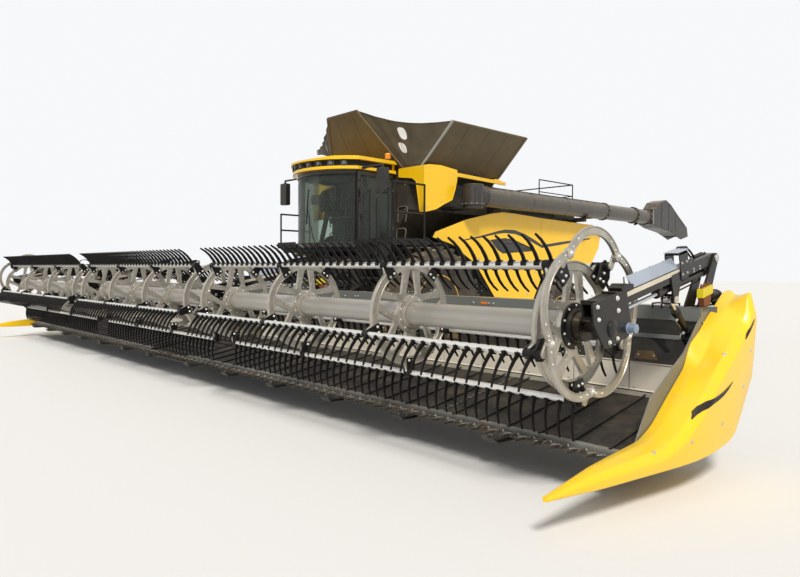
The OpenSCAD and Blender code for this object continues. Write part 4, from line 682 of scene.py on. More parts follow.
grips = [sweep([(x, y - 0.07, 3.160), (x, y - 0.07, 3.192), (x, y + 0.07, 3.192), (x, y + 0.07, 3.160)],
    0.007, 8) for x, y in ((-1.15, 1.1), (-0.25, 1.1), (0.25, 1.5), (1.15, 1.5))]
grips += [turned((x, y, 3.161), (0, 0, 1), [(0, 0.018), (0.008, 0.018), (0.010, 0.012)], 12)
    for x in (-1.25, -0.15) for y in (0.2, 2.0)]
fitted("hood_handles", grips, zinc)
heat_steel = finish("heat dulled steel", srgb(92, 84, 76), 0.45, metal=0.6, dust=0.2)
exhaust = [turned((0.75, 0.45, 3.14), (0, 0, 1), [(0, 0.105), (0.02, 0.105), (0.03, 0.072),
    (0.30, 0.072)], 28), sweep([(0.75, 0.45, 3.43), (0.75, 0.46, 3.52), (0.75, 0.50, 3.60),
    (0.75, 0.58, 3.66), (0.75, 0.68, 3.69)], 0.066, 20)]
fitted("exhaust_pipe", exhaust, heat_steel, keep=50)
bowl = [turned((0.35, 0.42, 3.14), (0, 0, 1), [(0, 0.06), (0.20, 0.06), (0.20, 0.115), (0.24, 0.135),
    (0.33, 0.135), (0.36, 0.12), (0.38, 0.05), (0.385, 0.0)], 28)]
fitted("air_precleaner", bowl, black_trim, keep=50)
deck_rail = [sweep([(x, 2.60, 3.10), (x, 2.60, 3.62), (x, 1.30, 3.62), (x, 1.30, 3.14)], 0.014, 8)
    for x in (-1.42, 1.42)]
deck_rail += [sweep([(x, 2.60, 3.36), (x, 1.30, 3.36)], 0.011, 8) for x in (-1.42, 1.42)]
deck_rail += [sweep([(-1.42, 2.60, z), (1.42, 2.60, z)], r, 8) for z, r in ((3.62, 0.014), (3.36, 0.011))]
fitted("engine_deck_rails", deck_rail, black_trim)
screen_ring = [turned((-1.478, 0.95, 2.62), (-1, 0, 0), [(0, 0.30), (0.0, 0.36), (0.012, 0.36),
    (0.012, 0.30)], 48)]
for k in range(-6, 7):
    c = 0.047 * k
    w = math.sqrt(0.31 ** 2 - c ** 2)
    screen_ring.append(sweep([(-1.484, 0.95 - w, 2.62 + c), (-1.484, 0.95 + w, 2.62 + c)], 0.0025, 6))
    screen_ring.append(sweep([(-1.487, 0.95 + c, 2.62 - w), (-1.487, 0.95 + c, 2.62 + w)], 0.0025, 6))
fitted("air_screen", screen_ring, zinc)

# STRAW HOOD
# The yellow plastic hood that covers the straw chopper, with a rubber curtain under it,
# a blank plate, lamps on brackets and two spreader discs with bolted vanes.
wear(yellow, "straw_hood")
hood_lines = [sweep([(-0.818, 3.02, 2.062), (-0.818, 3.02, 0.96)], 0.008, 6),
    sweep([(-0.60, 3.634, 1.86), (0.60, 3.634, 1.86)], 0.008, 6)]
fitted("straw_hood_seams", both_sides([hood_lines[0]]) + [hood_lines[1]], black_trim)
curtain = [block((x - 0.046, 3.30 + d, 0.80), (x + 0.046, 3.309 + d, 1.06))
    for x, d in [(-0.76 + 0.1 * k, 0.004 * (k % 2)) for k in range(16)]]
curtain_rubber = finish("curtain rubber", srgb(30, 30, 30), 0.75, dust=0.45, grain=0.2)
fitted("straw_curtain", curtain, curtain_rubber, ease=0.002)
vanes = []
for x in (-0.42, 0.42):
    for k in range(4):
        a = math.pi / 2 * k + 0.4
        c, s = math.cos(a), math.sin(a)
        v, f = block((0.10, -0.006, 0.0), (0.325, 0.006, 0.055))
        vanes.append(([(x + px * c - py * s, 3.18 + px * s + py * c, 0.7295 + pz) for px, py, pz in v],
            f))
        vanes.append(bolt((x + 0.2 * c - 0.03 * s, 3.18 + 0.2 * s + 0.03 * c, 0.7295), (0, 0, 1),
            0.010))
fitted("spreader_vanes", vanes, straw_steel, ease=0.002)
lamp_red = finish("red lamp plastic", srgb(170, 22, 18), 0.15, coat=0.6, dust=0.1, mottle=0.05)
lamp_amber = finish("amber lamp plastic", srgb(236, 128, 16), 0.15, coat=0.6, dust=0.1, mottle=0.05)
lamp_back = both_sides([block((0.83, 3.20, 1.62), (0.85, 3.26, 1.78)),
    block((0.815, 3.21, 1.66), (0.84, 3.25, 1.74)), block((0.84, 3.22, 1.60), (1.05, 3.28, 1.80))])
fitted("rear_lamp_brackets", lamp_back, black_trim, ease=0.006)
for word, x0, x1, plastic in (("red", 0.855, 0.945, lamp_red), ("amber", 0.950, 1.035, lamp_amber)):
    fitted("rear_lamps_" + word, both_sides([block((x0, 3.279, 1.615), (x1, 3.297, 1.785))]), plastic,
        ease=0.006)
fitted("blank_plate", [block((-0.26, 3.598, 1.50), (0.26, 3.618, 1.62))], zinc, ease=0.004)

# CAB
# The cab's frame is welded from black tube and its door hangs on two pins. Large tinted
# panes are held in black rubber, and a wiper sweeps the curved windshield.
cab_black = finish("black cab paint", srgb(26, 26, 28), 0.35, coat=0.25, dust=0.15)
rubber_seal = finish("window rubber", srgb(18, 18, 19), 0.7, dust=0.15, edge=0)
wear(cab_black, "cab_frame", "cab_door")
cab_half, cab_side, cab_rear = 0.850, -3.330, -2.450
arc_middle, arc_r = -2.6799, 1.0701


def glass(name, tint, clear_share):
    m = bpy.data.materials.new(name)
    m.use_nodes = True
    tree = m.node_tree
    film = add(tree, "TexNoise", {"Scale": 5.0, "Detail": 7,
        "Vector": add(tree, "TexCoord").outputs["Object"]})
    haze = add(tree, "MapRange", {"Value": film, "To Min": 0.02, "To Max": 0.12})
    shader = wire(tree.nodes["Principled BSDF"], {"Base Color": (*[c * 0.25 for c in tint], 1),
        "Roughness": haze})
    through = add(tree, "BsdfTransparent", {"Color": (*tint, 1)})
    slant = add(tree, "LayerWeight", {"Blend": 0.35})
    mirror_share = add(tree, "MapRange", {"Value": slant.outputs["Fresnel"], "To Min": 1 - clear_share,
        "To Max": 0.75})
    pane = add(tree, "MixShader", {"Fac": mirror_share, 1: through, 2: shader})
    wire(tree.nodes["Material Output"], {"Surface": pane})
    return m


cab_pane = glass("tinted cab glass", srgb(233, 240, 234), 0.92)
wear(cab_pane, "cab_glass", "cab_door_glass")


# Plan of the cab from its rear left corner round the nose, grown outwards by d.
def cab_plan(d, rear=cab_rear, steps=36):
    most = math.asin(min(1.0, (cab_half + d) / (arc_r + d)))
    arc = [((arc_r + d) * math.sin(most * (1 - 2 * k / steps)),
        arc_middle - (arc_r + d) * math.cos(most * (1 - 2 * k / steps))) for k in range(steps + 1)]
    return [(cab_half + d, rear), (cab_half + d, cab_side)] + arc + \
           [(-cab_half - d, cab_side), (-cab_half - d, rear)]


def cab_band(d0, d1, z0, z1, rear=cab_rear):
    inner, outer = cab_plan(d0, rear), cab_plan(d1, rear)
    v = [c for p, q in zip(inner, outer) for c in ((*p, z0), (*q, z0), (*q, z1), (*p, z1))]
    return v, skin(len(inner), 4)


def on_windshield(angle, z, lift=0.004):
    a = math.radians(angle)
    return ((arc_r + lift) * math.sin(a), arc_middle - (arc_r + lift) * math.cos(a), z)


seals = [sweep([on_windshield(-52 + 4 * k, z, -0.002) for k in range(27)], 0.010, 8)
    for z in (2.112, 3.322)]
seals += both_sides([sweep([(0.842, -3.356, 2.11), (0.842, -3.356, 3.32)], 0.010, 8)])
seals.append(sweep([(-0.845, -3.262, 2.11), (-0.845, -2.548, 2.11), (-0.845, -2.548, 3.32),
    (-0.845, -3.262, 3.32)], 0.008, 8, closed=True))
seals.append(sweep([(-0.725, -2.452, 2.805), (0.725, -2.452, 2.805), (0.725, -2.452, 3.265),
    (-0.725, -2.452, 3.265)], 0.008, 8, closed=True))
fitted("window_seals", seals, rubber_seal)
fitted("door_seal", [sweep([(0.899, -3.266, 2.172), (0.899, -2.516, 2.172), (0.899, -2.516, 3.308),
    (0.899, -3.266, 3.308)], 0.008, 8, closed=True)], rubber_seal, "cab_door")
latch = [cut_sheet(corners(-3.312, -3.284, 2.86, 3.06), "x", 0.900, 0.912),
    sweep([(0.905, -3.298, 2.88), (0.938, -3.298, 2.90), (0.938, -3.298, 3.01), (0.905, -3.298, 3.04)],
    0.008, 8), turned((0.905, -3.298, 2.845), (1, 0, 0), [(0, 0.014), (0.02, 0.014), (0.024, 0.009)],
    16)]
fitted("door_latch", latch, black_trim, "cab_door", ease=0.002)
door_bolts = [bolt((0.9005, y, z), (1, 0, 0), 0.007) for y in (-2.478, -2.495)
    for z in (2.39, 2.42, 3.08, 3.11)]
fitted("door_bolts", door_bolts, zinc, "cab_door")
wiper = [turned(on_windshield(12, 2.085, 0.012), (0.2, -1, 0),
    [(-0.03, 0.028), (0.012, 0.028), (0.018, 0.018)], 16), sweep([on_windshield(12, 2.085, 0.03),
    on_windshield(8, 2.30, 0.034), on_windshield(4, 2.52, 0.030), on_windshield(1, 2.72, 0.020)],
    [0.010, 0.008, 0.006, 0.005], 8)]
blade = sweep([on_windshield(-1.5 + 0.28 * k, 2.46 + 0.062 * k, 0.011) for k in range(11)], 0.007, 6)
spine = sweep([on_windshield(-1.5 + 0.28 * k, 2.46 + 0.062 * k, 0.021) for k in range(11)], 0.005, 6)
fitted("wiper", wiper + [blade, spine], black_trim)

# The roof is a yellow moulding with a black band let into its front. Round lamps sit in
# the band, and an amber beacon stands on each rear corner.
wear(yellow, "cab_roof")
fitted("roof_lamp_band", [cab_band(0.0495, 0.0530, 3.4495, 3.5575, rear=-2.53)], black_trim)
lamp_glass = glass("lamp glass", srgb(236, 240, 242), 0.55)
wear(lamp_glass, "lamps")
lamp_rims, lamp_lenses, lamp_bowls = [], [], []
bright = finish("lamp reflector", srgb(236, 238, 240), 0.08, metal=1.0, dust=0.0, mottle=0.02, edge=0)
for a in (-42, -30, -18, -6, 6, 18, 30, 42):
    c, s = math.cos(math.radians(a)), math.sin(math.radians(a))
    out = (s, -c, 0)
    face = Vector((0, arc_middle, 3.504)) + Vector(out) * 1.1655
    lamp_rims.append(turned(face, out, [(-0.02, 0.044), (0.006, 0.044), (0.009, 0.041), (0.009, 0.036),
        (0.002, 0.035)], 28))
    lamp_bowls.append(turned(face, out, [(0.0005, 0.036), (0.0025, 0.036), (0.004, 0.014),
        (0.004, 0.0)], 28))
    lamp_lenses.append(turned(face, out, [(0.0045, 0.0355), (0.0075, 0.0345), (0.0095, 0.020),
        (0.010, 0.0)], 28))
fitted("roof_lamp_rims", lamp_rims, black_trim)
fitted("roof_lamp_bowls", lamp_bowls, bright, keep=60)
fitted("roof_lamp_lenses", lamp_lenses, lamp_glass, keep=60)
beacon_amber = finish("amber beacon plastic", srgb(244, 150, 20), 0.1, coat=0.8, dust=0.05, mottle=0.06,
    edge=0)
ribs = [p for k in range(10) for p in ((0.031 + 0.009 * k, 0.0575), (0.036 + 0.009 * k, 0.0545))]
beacon_feet = both_sides([turned((0.91, -2.64, 3.6195), (0, 0, 1),
    [(0, 0.072), (0.012, 0.070), (0.020, 0.060), (0.030, 0.058), (0.030, 0.02)], 28)])
beacon_caps = both_sides([turned((0.91, -2.64, 3.6195), (0, 0, 1),
    ribs + [(0.124, 0.055), (0.134, 0.045), (0.139, 0.02), (0.140, 0)], 32)])
fitted("beacon_feet", beacon_feet, black_trim, keep=50)
fitted("beacon_caps", beacon_caps, beacon_amber, keep=50)
fitted("roof_hatch", [block((-0.30, -3.15, 3.619), (0.30, -2.75, 3.634))], yellow, ease=0.010)
fitted("roof_dome", [turned((0, -3.45, 3.619), (0, 0, 1), [(0, 0.11), (0.03, 0.13), (0.07, 0.125),
    (0.10, 0.09), (0.115, 0.04), (0.118, 0)], 32)], window_sheet, keep=60)
fitted("roof_lip_bead", [sweep([(*p, 3.3935) for p in cab_plan(0.090, rear=-2.50)], 0.007, 6)],
    black_trim)

# Mirrors on cranked arms, each a plastic housing with two panes that look back.
mirror_black = finish("black mirror plastic", srgb(24, 24, 25), 0.5, dust=0.15)
wear(mirror_black, "mirrors", "cab_controls")
mirror_pane = finish("mirror silvering", srgb(214, 220, 224), 0.03, metal=1.0, dust=0.0, mottle=0.01,
    edge=0)


def rounded_plate(x0, x1, z0, z1, r, steps=6):
    middles = ((x1 - r, z1 - r, 0), (x0 + r, z1 - r, 90), (x0 + r, z0 + r, 180), (x1 - r, z0 + r, 270))
    return [(cx + r * math.cos(a), cz + r * math.sin(a)) for cx, cz, a0 in middles
        for a in [math.radians(a0 + 90 * k / steps) for k in range(steps + 1)]]


housing = [cut_sheet(rounded_plate(1.384, 1.596, 2.934, 3.366, 0.035), "y", -3.326, -3.214)]
panes = [cut_sheet(rounded_plate(1.402, 1.578, 3.10, 3.345, 0.022), "y", -3.2145, -3.2115),
    cut_sheet(rounded_plate(1.402, 1.578, 2.955, 3.085, 0.022), "y", -3.2145, -3.2115)]
fitted("mirror_housings", both_sides(housing), mirror_black, ease=0.014)
fitted("mirror_panes", both_sides(panes), mirror_pane)
arm_clamps = [turned((0.99, -3.27, 3.42), (1, 0, 0), collar(0, 0.05, 0.018, 0.028), 16),
    turned((1.49, -3.27, 3.362), (0, 0, 1), collar(-0.02, 0.02, 0.018, 0.030), 16)]
fitted("mirror_clamps", both_sides(arm_clamps), mirror_black, keep=50)

# Inside the cab: a grey headliner, the wheel's hub, a side console with a lever and a
# screen, and a ribbed floor mat.
trim_grey = finish("grey cab trim", srgb(92, 90, 84), 0.75, dust=0.05, grain=0.2)
fitted("headliner", [cut_sheet(cab_plan(-0.080, rear=-2.50, steps=20), "z", 3.372, 3.384)], trim_grey)
hub_way = Vector((0, -0.4226, 0.9063))
hub = Vector((0, -3.270, 2.860))
fitted("steering_hub", [turned(hub, hub_way, [(-0.03, 0.05), (0.0, 0.062), (0.016, 0.058),
    (0.022, 0.04), (0.023, 0)], 24)], mirror_black, keep=50)
lever = [turned((-0.355, -3.10, 2.795), (0, -0.25, 1), [(0, 0.045), (0.02, 0.04), (0.035, 0.015),
    (0.09, 0.013), (0.10, 0.024), (0.15, 0.030), (0.19, 0.026), (0.205, 0.012), (0.207, 0)], 20)]
lever += [turned((-0.39 + 0.035 * k, -2.92, 2.80), (0, 0, 1), [(0, 0.010), (0.008, 0.009), (0.009, 0)],
    12) for k in range(3)]
fitted("console_lever", lever, mirror_black, keep=50)


def on_screen(lo, hi, at=(-0.50, -3.17, 2.98), yaw=0.5):
    v, f = block(lo, hi)
    c, s = math.cos(yaw), math.sin(yaw)
    return [(at[0] + x * c - y * s, at[1] + x * s + y * c, at[2] + z) for x, y, z in v], f


fitted("screen_case", [on_screen((-0.14, -0.012, -0.09), (0.14, 0.012, 0.09)),
    sweep([(-0.50, -3.18, 2.90), (-0.46, -3.15, 2.80), (-0.41, -3.10, 2.77)], 0.014, 8)], mirror_black,
    ease=0.006)
fitted("screen_pane", [on_screen((-0.128, 0.0122, -0.078), (0.128, 0.0138, 0.078))],
    finish("dark screen glass", srgb(20, 26, 34), 0.08, coat=0.6, dust=0.0, mottle=0.1, edge=0))
mat_ribs = [block((-0.70, y - 0.006, 2.1005), (0.70, y + 0.006, 2.108))
    for y in [-3.28 + 0.03 * k for k in range(24)]]
fitted("floor_mat", mat_ribs + [cut_sheet(cab_plan(-0.09, rear=-2.56, steps=16), "z", 2.0995, 2.103)],
    rubber_seal)

# Driver's seat: two foam cushions in woven cloth on the pedestal. Each one bulges
# between its edges, is drawn in along its sewn channels and has a piped seam.
seat_cloth = finish("woven seat cloth", srgb(58, 58, 62), 0.9, grain=0.5, grain_size=700, dust=0.08,
    mottle=0.1, sheen=0.4, edge=0)
piping = finish("seat piping", srgb(150, 120, 40), 0.7, dust=0.05, edge=0)


def stuffed(name, size, lean, at, channels, swell=0.014):
    half = [s / 2 - 0.012 for s in size]
    body = bmesh.new()
    bmesh.ops.create_cube(body, size=2.0)
    bmesh.ops.subdivide_edges(body, edges=body.edges[:], cuts=11, use_grid_fill=True)
    for p in body.verts:
        bulge = 0.45 + 0.55 * max(abs(c) for c in p.co) / sum(abs(c) ** 5 for c in p.co) ** 0.2
        p.co = Vector([c * reach * bulge for c, reach in zip(p.co, half)])
    mesh = bpy.data.meshes.new(name)
    body.to_mesh(mesh)
    body.free()
    pad = bpy.data.objects.new(name, mesh)
    bpy.context.scene.collection.objects.link(pad)
    even = pad.modifiers.new("even faces", "REMESH")
    even.mode = "VOXEL"
    even.voxel_size = 0.013
    pad.data = bpy.data.meshes.new_from_object(pad.evaluated_get(bpy.context.evaluated_depsgraph_get()))
    pad.modifiers.clear()
    start = [p.co.copy() for p in pad.data.vertices]
    cloth = pad.modifiers.new("stuffing", "CLOTH")
    cloth.settings.use_pressure = True
    cloth.settings.uniform_pressure_force = 4.0
    cloth.settings.effector_weights.gravity = 0.0
    cloth.point_cache.frame_end = 20
    for moment in range(1, 21):
        bpy.context.scene.frame_set(moment)
    pad.data = bpy.data.meshes.new_from_object(pad.evaluated_get(bpy.context.evaluated_depsgraph_get()))
    pad.modifiers.clear()
    bpy.context.scene.frame_set(1)
    thick = min(range(3), key=lambda i: size[i])
    for p, q in zip(pad.data.vertices, start):
        move = p.co - q
        if move.length > swell:
            move *= swell / move.length
        p.co = q + move
        for axis, value in channels:
            d = p.co[axis] - value
            draw = 0.011 * math.exp(-(d / 0.010) ** 2)
            p.co[thick] -= math.copysign(draw, p.co[thick]) * min(1, abs(p.co[thick]) / 0.03)
    c, s = math.cos(lean), math.sin(lean)
    for p in pad.data.vertices:
        x, y, z = p.co
        p.co = Vector((at[0] + x, at[1] + y * c - z * s, at[2] + y * s + z * c))
    for p in pad.data.polygons:
        p.use_smooth = True
    pad.data.materials.clear()
    pad.data.materials.append(seat_cloth)
    fine = pad.modifiers.new("smooth cloth", "SUBSURF")
    fine.levels = 1
    fine.render_levels = 1
    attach(pad, "machine")
    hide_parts("cab_seat")


cushion = ((0.52, 0.50, 0.13), 0.0, (0, -2.90, 2.565))
back_rest = ((0.50, 0.12, 0.72), math.radians(-8), (0, -2.6593, 2.9249))
stuffed("seat_cushion", *cushion, [(0, -0.15), (0, 0.15), (1, -0.10), (1, 0.04)])
stuffed("seat_back", *back_rest, [(0, -0.14), (0, 0.14), (2, -0.18), (2, 0.02), (2, 0.20)])


def seam_round(size, lean, at, off):
    hx, hy, hz = [s / 2 for s in size]
    pts = []
    flat = min(range(3), key=lambda i: size[i])
    for k in range(48):
        a = 2 * math.pi * k / 48
        ca = math.copysign(abs(math.cos(a)) ** 0.28, math.cos(a))
        sa = math.copysign(abs(math.sin(a)) ** 0.28, math.sin(a))
        if flat == 2:
            x, y, z = (hx - 0.016) * ca, (hy - 0.016) * sa, off
        else:
            x, y, z = (hx - 0.016) * ca, off, (hz - 0.016) * sa
        c, s = math.cos(lean), math.sin(lean)
        pts.append((at[0] + x, at[1] + y * c - z * s, at[2] + y * s + z * c))
    return sweep(pts, 0.0045, 6, closed=True)


fitted("seat_piping", [seam_round(*cushion, 0.040), seam_round(*back_rest, -0.036)], piping)

# PLATFORMS AND LADDER
# Decks of raised tread plate beside the cab, tube handrails, and a ladder of folded
# steps that stands ahead of the left tyre. All of it is black, worn and dusty.
wear(black_trim, "platform", "ladder")
tread_steel = finish("worn tread plate", srgb(70, 68, 64), 0.45, metal=0.4, dust=0.5, mottle=0.3)
studs = []
for i in range(15):
    for j in range(13):
        x, y = 0.96 + 0.062 * i, -3.36 + 0.062 * j
        if x > 1.86 or y > -2.60:
            continue
        d = 0.013 if (i + j) % 2 else -0.013
        studs.append(([(x - d, y - 0.013, 2.0995), (x - d + 0.005, y - 0.017, 2.0995),
            (x + d + 0.005, y + 0.009, 2.0995), (x + d, y + 0.013, 2.0995),
            (x - d + 0.001, y - 0.012, 2.1025), (x + d, y + 0.008, 2.1025)],
            [(0, 1, 4), (1, 2, 5, 4), (2, 3, 5), (3, 0, 4, 5)]))
far_studs = [mirrored(s) for s in studs if max(p[0] for p in s[0]) < 1.57]
fitted("tread_studs", studs + far_studs, tread_steel)
kick_boards = [block((0.93, -3.395, 2.095), (1.875, -3.388, 2.175)),
    block((1.872, -3.39, 2.095), (1.879, -2.575, 2.175)), block((-1.575, -3.395, 2.095),
    (-0.93, -3.388, 2.175)), block((-1.579, -3.39, 2.095), (-1.572, -2.575, 2.175))]
fitted("kick_boards", kick_boards, black_trim, ease=0.002)
rail_feet = []
for x, y in [(x, y) for x in (1.85, -1.55) for y in (-3.33, -2.63)]:
    rail_feet.append(turned((x, y, 2.099), (0, 0, 1), [(0, 0.045), (0.008, 0.045), (0.010, 0.03),
        (0.03, 0.024), (0.03, 0.017)], 20))
    rail_feet += [bolt((x + dx, y + dy, 2.107), (0, 0, 1), 0.006)
        for dx, dy in ((0.033, 0), (-0.033, 0), (0, 0.033), (0, -0.033))]
fitted("handrail_feet", rail_feet, black_trim)
steps = [block((1.37, -3.655 + 0.022 * k, z + 0.0295), (1.83, -3.648 + 0.022 * k, z + 0.036))
    for z in (0.58, 0.88, 1.18, 1.48, 1.78) for k in range(5)]
fitted("step_ridges", steps, tread_steel, ease=0.001)


def grab_loop(x0, x1, z0, z1, y, lean=0.0):
    r = 0.06
    pts = [(cx + r * math.cos(a), y, z1 - r + r * math.sin(a)) for cx, a0 in ((x1 - r, 0), (x0 + r, 90))
        for a in [math.radians(a0 + 15 * k) for k in range(7)]]
    return sweep([(x1 - lean, y, z0)] + pts + [(x0, y, z0)], 0.012, 8)


grab_paint = finish("grey handrail paint", srgb(98, 96, 90), 0.45, dust=0.25)
grab_y = -2.400
grabs = [grab_loop(0.93, 1.18, 2.52, 2.80, grab_y, 0.05), grab_loop(0.90, 1.15, 2.16, 2.40, grab_y, 0.05)]
grabs += [sweep([(x, grab_y, z), (x, -2.380, z)], 0.010, 8) for x, z in ((0.93, 2.53), (1.13, 2.53),
    (0.90, 2.17), (1.10, 2.17))]
fitted("grab_handles", both_sides(grabs), grab_paint)

# UNLOADING AUGER
# A long painted steel tube in flanged lengths, on a cast elbow that turns on the tank's
# turret. At its end a moulded boot throws the grain down.
auger_paint = finish("auger grey paint", srgb(66, 62, 54), 0.38, coat=0.2, dust=0.26, mottle=0.2,
    mottle_size=1.4, drawn=(1, 0.25, 1))
wear(auger_paint, "auger_tube")
boot_black = finish("boot rubber", srgb(30, 30, 31), 0.42, dust=0.3, coat=0.15)
wear(boot_black, "auger_spout")
auger_x, auger_top, tube_r, turret_y = 1.830, 3.030, 0.185, -1.340
cast_black = finish("black casting paint", srgb(36, 36, 38), 0.45, dust=0.3)
flange_bolts, flange_pairs = [], []
for y in (-1.09, 3.20, 4.60, 5.26):
    for c, s in around(12, tube_r + 0.010, 0.5):
        flange_bolts += [bolt((auger_x + c, y + d, auger_top + s), (0, way, 0), 0.0075)
            for d, way in ((-0.0005, -1), (0.0405, 1))]
    flange_pairs.append(turned((auger_x, y + 0.0195, auger_top), (0, 1, 0),
        [(-0.001, tube_r + 0.021), (0.002, tube_r + 0.021)], 56))
fitted("tube_flange_bolts", flange_bolts, zinc, "auger")
fitted("tube_flange_joints", flange_pairs, black_trim, "auger")
elbow = [turned((auger_x, turret_y, 2.836), (0, 0, 1), [(0.0, 0.191), (0.0, 0.214), (0.030, 0.214),
    (0.034, 0.196), (0.20, 0.196), (0.30, 0.194), (0.385, 0.192), (0.395, 0.176), (0.402, 0.12),
    (0.405, 0)], 56), turned((auger_x, turret_y, auger_top), (0, 1, 0),
    [(0.10, 0.188), (0.10, 0.196), (0.235, 0.196), (0.235, 0.205), (0.249, 0.205), (0.249, 0.186)], 56)]
for a in (-0.9, -0.3, 0.3, 0.9):
    c, s = math.cos(a), math.sin(a)
    elbow.append(block((auger_x - 0.2 * s - 0.008, turret_y - 0.2 * c - 0.012, 2.86),
        (auger_x - 0.2 * s + 0.008, turret_y - 0.19 * c + 0.01, 3.19)))
fitted("auger_elbow", elbow, cast_black, "auger", ease=0.004, keep=45)
elbow_bolts = [bolt((auger_x + c, turret_y + s, 2.866), (0, 0, 1), 0.009) for c, s in around(12, 0.204)]
fitted("elbow_bolts", elbow_bolts, zinc, "auger")
straps = [turned((auger_x, y, auger_top), (0, 1, 0), collar(-0.02, 0.02, tube_r, tube_r + 0.004), 48)
    for y in (0.35, 1.60, 2.40)]
fitted("tube_straps", straps, auger_paint, "auger", keep=50)
pipe = sweep([(auger_x + 0.10, y, auger_top + 0.172) for y in (-1.05, 0.5, 2.0, 3.14)], 0.008, 8)
fitted("auger_wire_pipe", [pipe], black_trim, "auger")
work_lamp = [turned((auger_x, 4.80, auger_top - 0.19), (0.2, 0.3, -1),
    [(-0.02, 0.02), (0.0, 0.05), (0.03, 0.055), (0.035, 0.05), (0.03, 0.047)], 24)]
fitted("auger_lamp", work_lamp, black_trim, "auger", keep=50)

# The boot's moulded ribs, the clamp band that draws it onto the tube and its lip.
boot_side = [(5.47, 3.19), (5.68, 3.37), (6.00, 3.455), (6.29, 3.36), (6.62, 3.16), (7.20, 2.86)]
boot_ribs = []
for x in (auger_x - tube_r, auger_x + tube_r):
    boot_ribs += [sweep([(x, y, z) for y, z in line], 0.008, 8)
        for line in (boot_side, ((5.45, 2.83), (5.70, 2.80), (6.30, 2.73), (6.62, 2.65)))]
    boot_ribs += [sweep([(x, y, z0), (x, y, z1)], 0.007, 8) for y, z0, z1 in ((5.80, 2.80, 3.40),
        (6.20, 2.75, 3.40), (6.60, 2.70, 3.17))]
boot_ribs.append(sweep([(auger_x - 0.186, 6.62, 2.635), (auger_x - 0.186, 6.93, 2.522),
    (auger_x - 0.186, 7.345, 2.618), (auger_x + 0.186, 7.345, 2.618), (auger_x + 0.186, 6.93, 2.522),
    (auger_x + 0.186, 6.62, 2.635)], 0.010, 8))
fitted("boot_ribs", boot_ribs, boot_black, "auger")
band_steel = [block((auger_x + x0, 5.33, z0), (auger_x + x1, 5.37, z1))
    for x0, x1, z0, z1 in ((-0.189, -0.183, 2.841, 3.219), (0.183, 0.189, 2.841, 3.219),
    (-0.189, 0.189, 3.213, 3.219), (-0.189, 0.189, 2.839, 2.845))]
fitted("boot_clamp_band", band_steel, batten_steel, "auger")
fitted("boot_screws", [bolt((auger_x + s * 0.1885, 5.35, z), (s, 0, 0), 0.008) for s in (-1, 1)
    for z in (2.90, 3.03, 3.16)], zinc, "auger")

# FEEDER HOUSE
# The sheet-steel tunnel that lifts the crop to the rotors. It is welded from folded
# plate with pressed ribs, hangs on a trunnion below the cab and carries the header.
feeder_paint = finish("dark feeder paint", srgb(60, 60, 58), 0.46, dust=0.35, mottle=0.16)
wear(feeder_paint, "feeder_house")
feeder_face, feeder_mouth = 0.690, -4.98
feeder_lean = math.atan(0.41)


def feeder_low(y):
    return 0.52 + (y - feeder_mouth) * 0.436


def feeder_top(x, y, up=0.0):
    return (x, y - up * math.sin(feeder_lean), 1.14 + (y - feeder_mouth) * 0.41 + up * math.cos(feeder_lean))


feeder_ribs = [block((feeder_face - 0.001, y - 0.018, feeder_low(y) + 0.04),
    (feeder_face + 0.020, y + 0.018, feeder_top(0, y)[2] - 0.04))
    for y in (-4.82, -4.47, -4.12, -3.77, -3.42)]
feeder_ribs += [cut_sheet([(-4.97, feeder_low(-4.97) + r), (-3.30, feeder_low(-3.30) + r),
    (-3.30, feeder_low(-3.30) + r + 0.03), (-4.97, feeder_low(-4.97) + r + 0.03)], "x",
    feeder_face - 0.001, feeder_face + 0.014) for r in (0.012, 0.29)]
feeder_ribs.append(block((feeder_face - 0.001, -4.974, 0.50), (feeder_face + 0.05, -4.90, 1.17)))
feeder_cross = [cut_sheet([feeder_top(0, y, -0.001)[1:], feeder_top(0, y + 0.035, -0.001)[1:],
    feeder_top(0, y + 0.035, 0.016)[1:], feeder_top(0, y, 0.016)[1:]], "x", -0.67, 0.67)
    for y in (-4.93, -4.60, -4.10, -3.60, -3.26)]
feeder_cross.append(cut_sheet([feeder_top(0, y, up)[1:] for y, up in corners(-4.50, -4.16, 0.0, 0.012)],
    "x", -0.40, 0.40))
fitted("feeder_ribs", both_sides(feeder_ribs) + feeder_cross, feeder_paint, "header", ease=0.004)
chain_guard = cut_sheet([(-4.72, 0.86), (-4.66, 0.80), (-4.56, 0.80), (-3.42, 1.34), (-3.34, 1.44),
    (-3.36, 1.56), (-3.46, 1.62), (-3.58, 1.60), (-4.68, 1.03), (-4.74, 0.95)], "x",
    feeder_face + 0.015, feeder_face + 0.078)
fitted("feeder_chain_guards", both_sides([chain_guard]), black_trim, "header", ease=0.012)
feeder_bolts = [bolt((feeder_face + 0.079, y, z), (1, 0, 0), 0.011) for y, z in
                ((-4.64, 0.87), (-4.64, 0.97), (-4.05, 1.12), (-4.05, 1.26), (-3.46, 1.42), (-3.46, 1.54))]
feeder_bolts += [bolt((feeder_face + 0.051, -4.937, 0.55 + 0.116 * k), (1, 0, 0), 0.012) for k in range(6)]
feeder_bolts += [bolt(feeder_top(x, y, 0.012), (0, -0.38, 0.92), 0.009) for x in (0.06, 0.36)
    for y in (-4.47, -4.19)]
fitted("feeder_bolts", both_sides(feeder_bolts), zinc, "header")

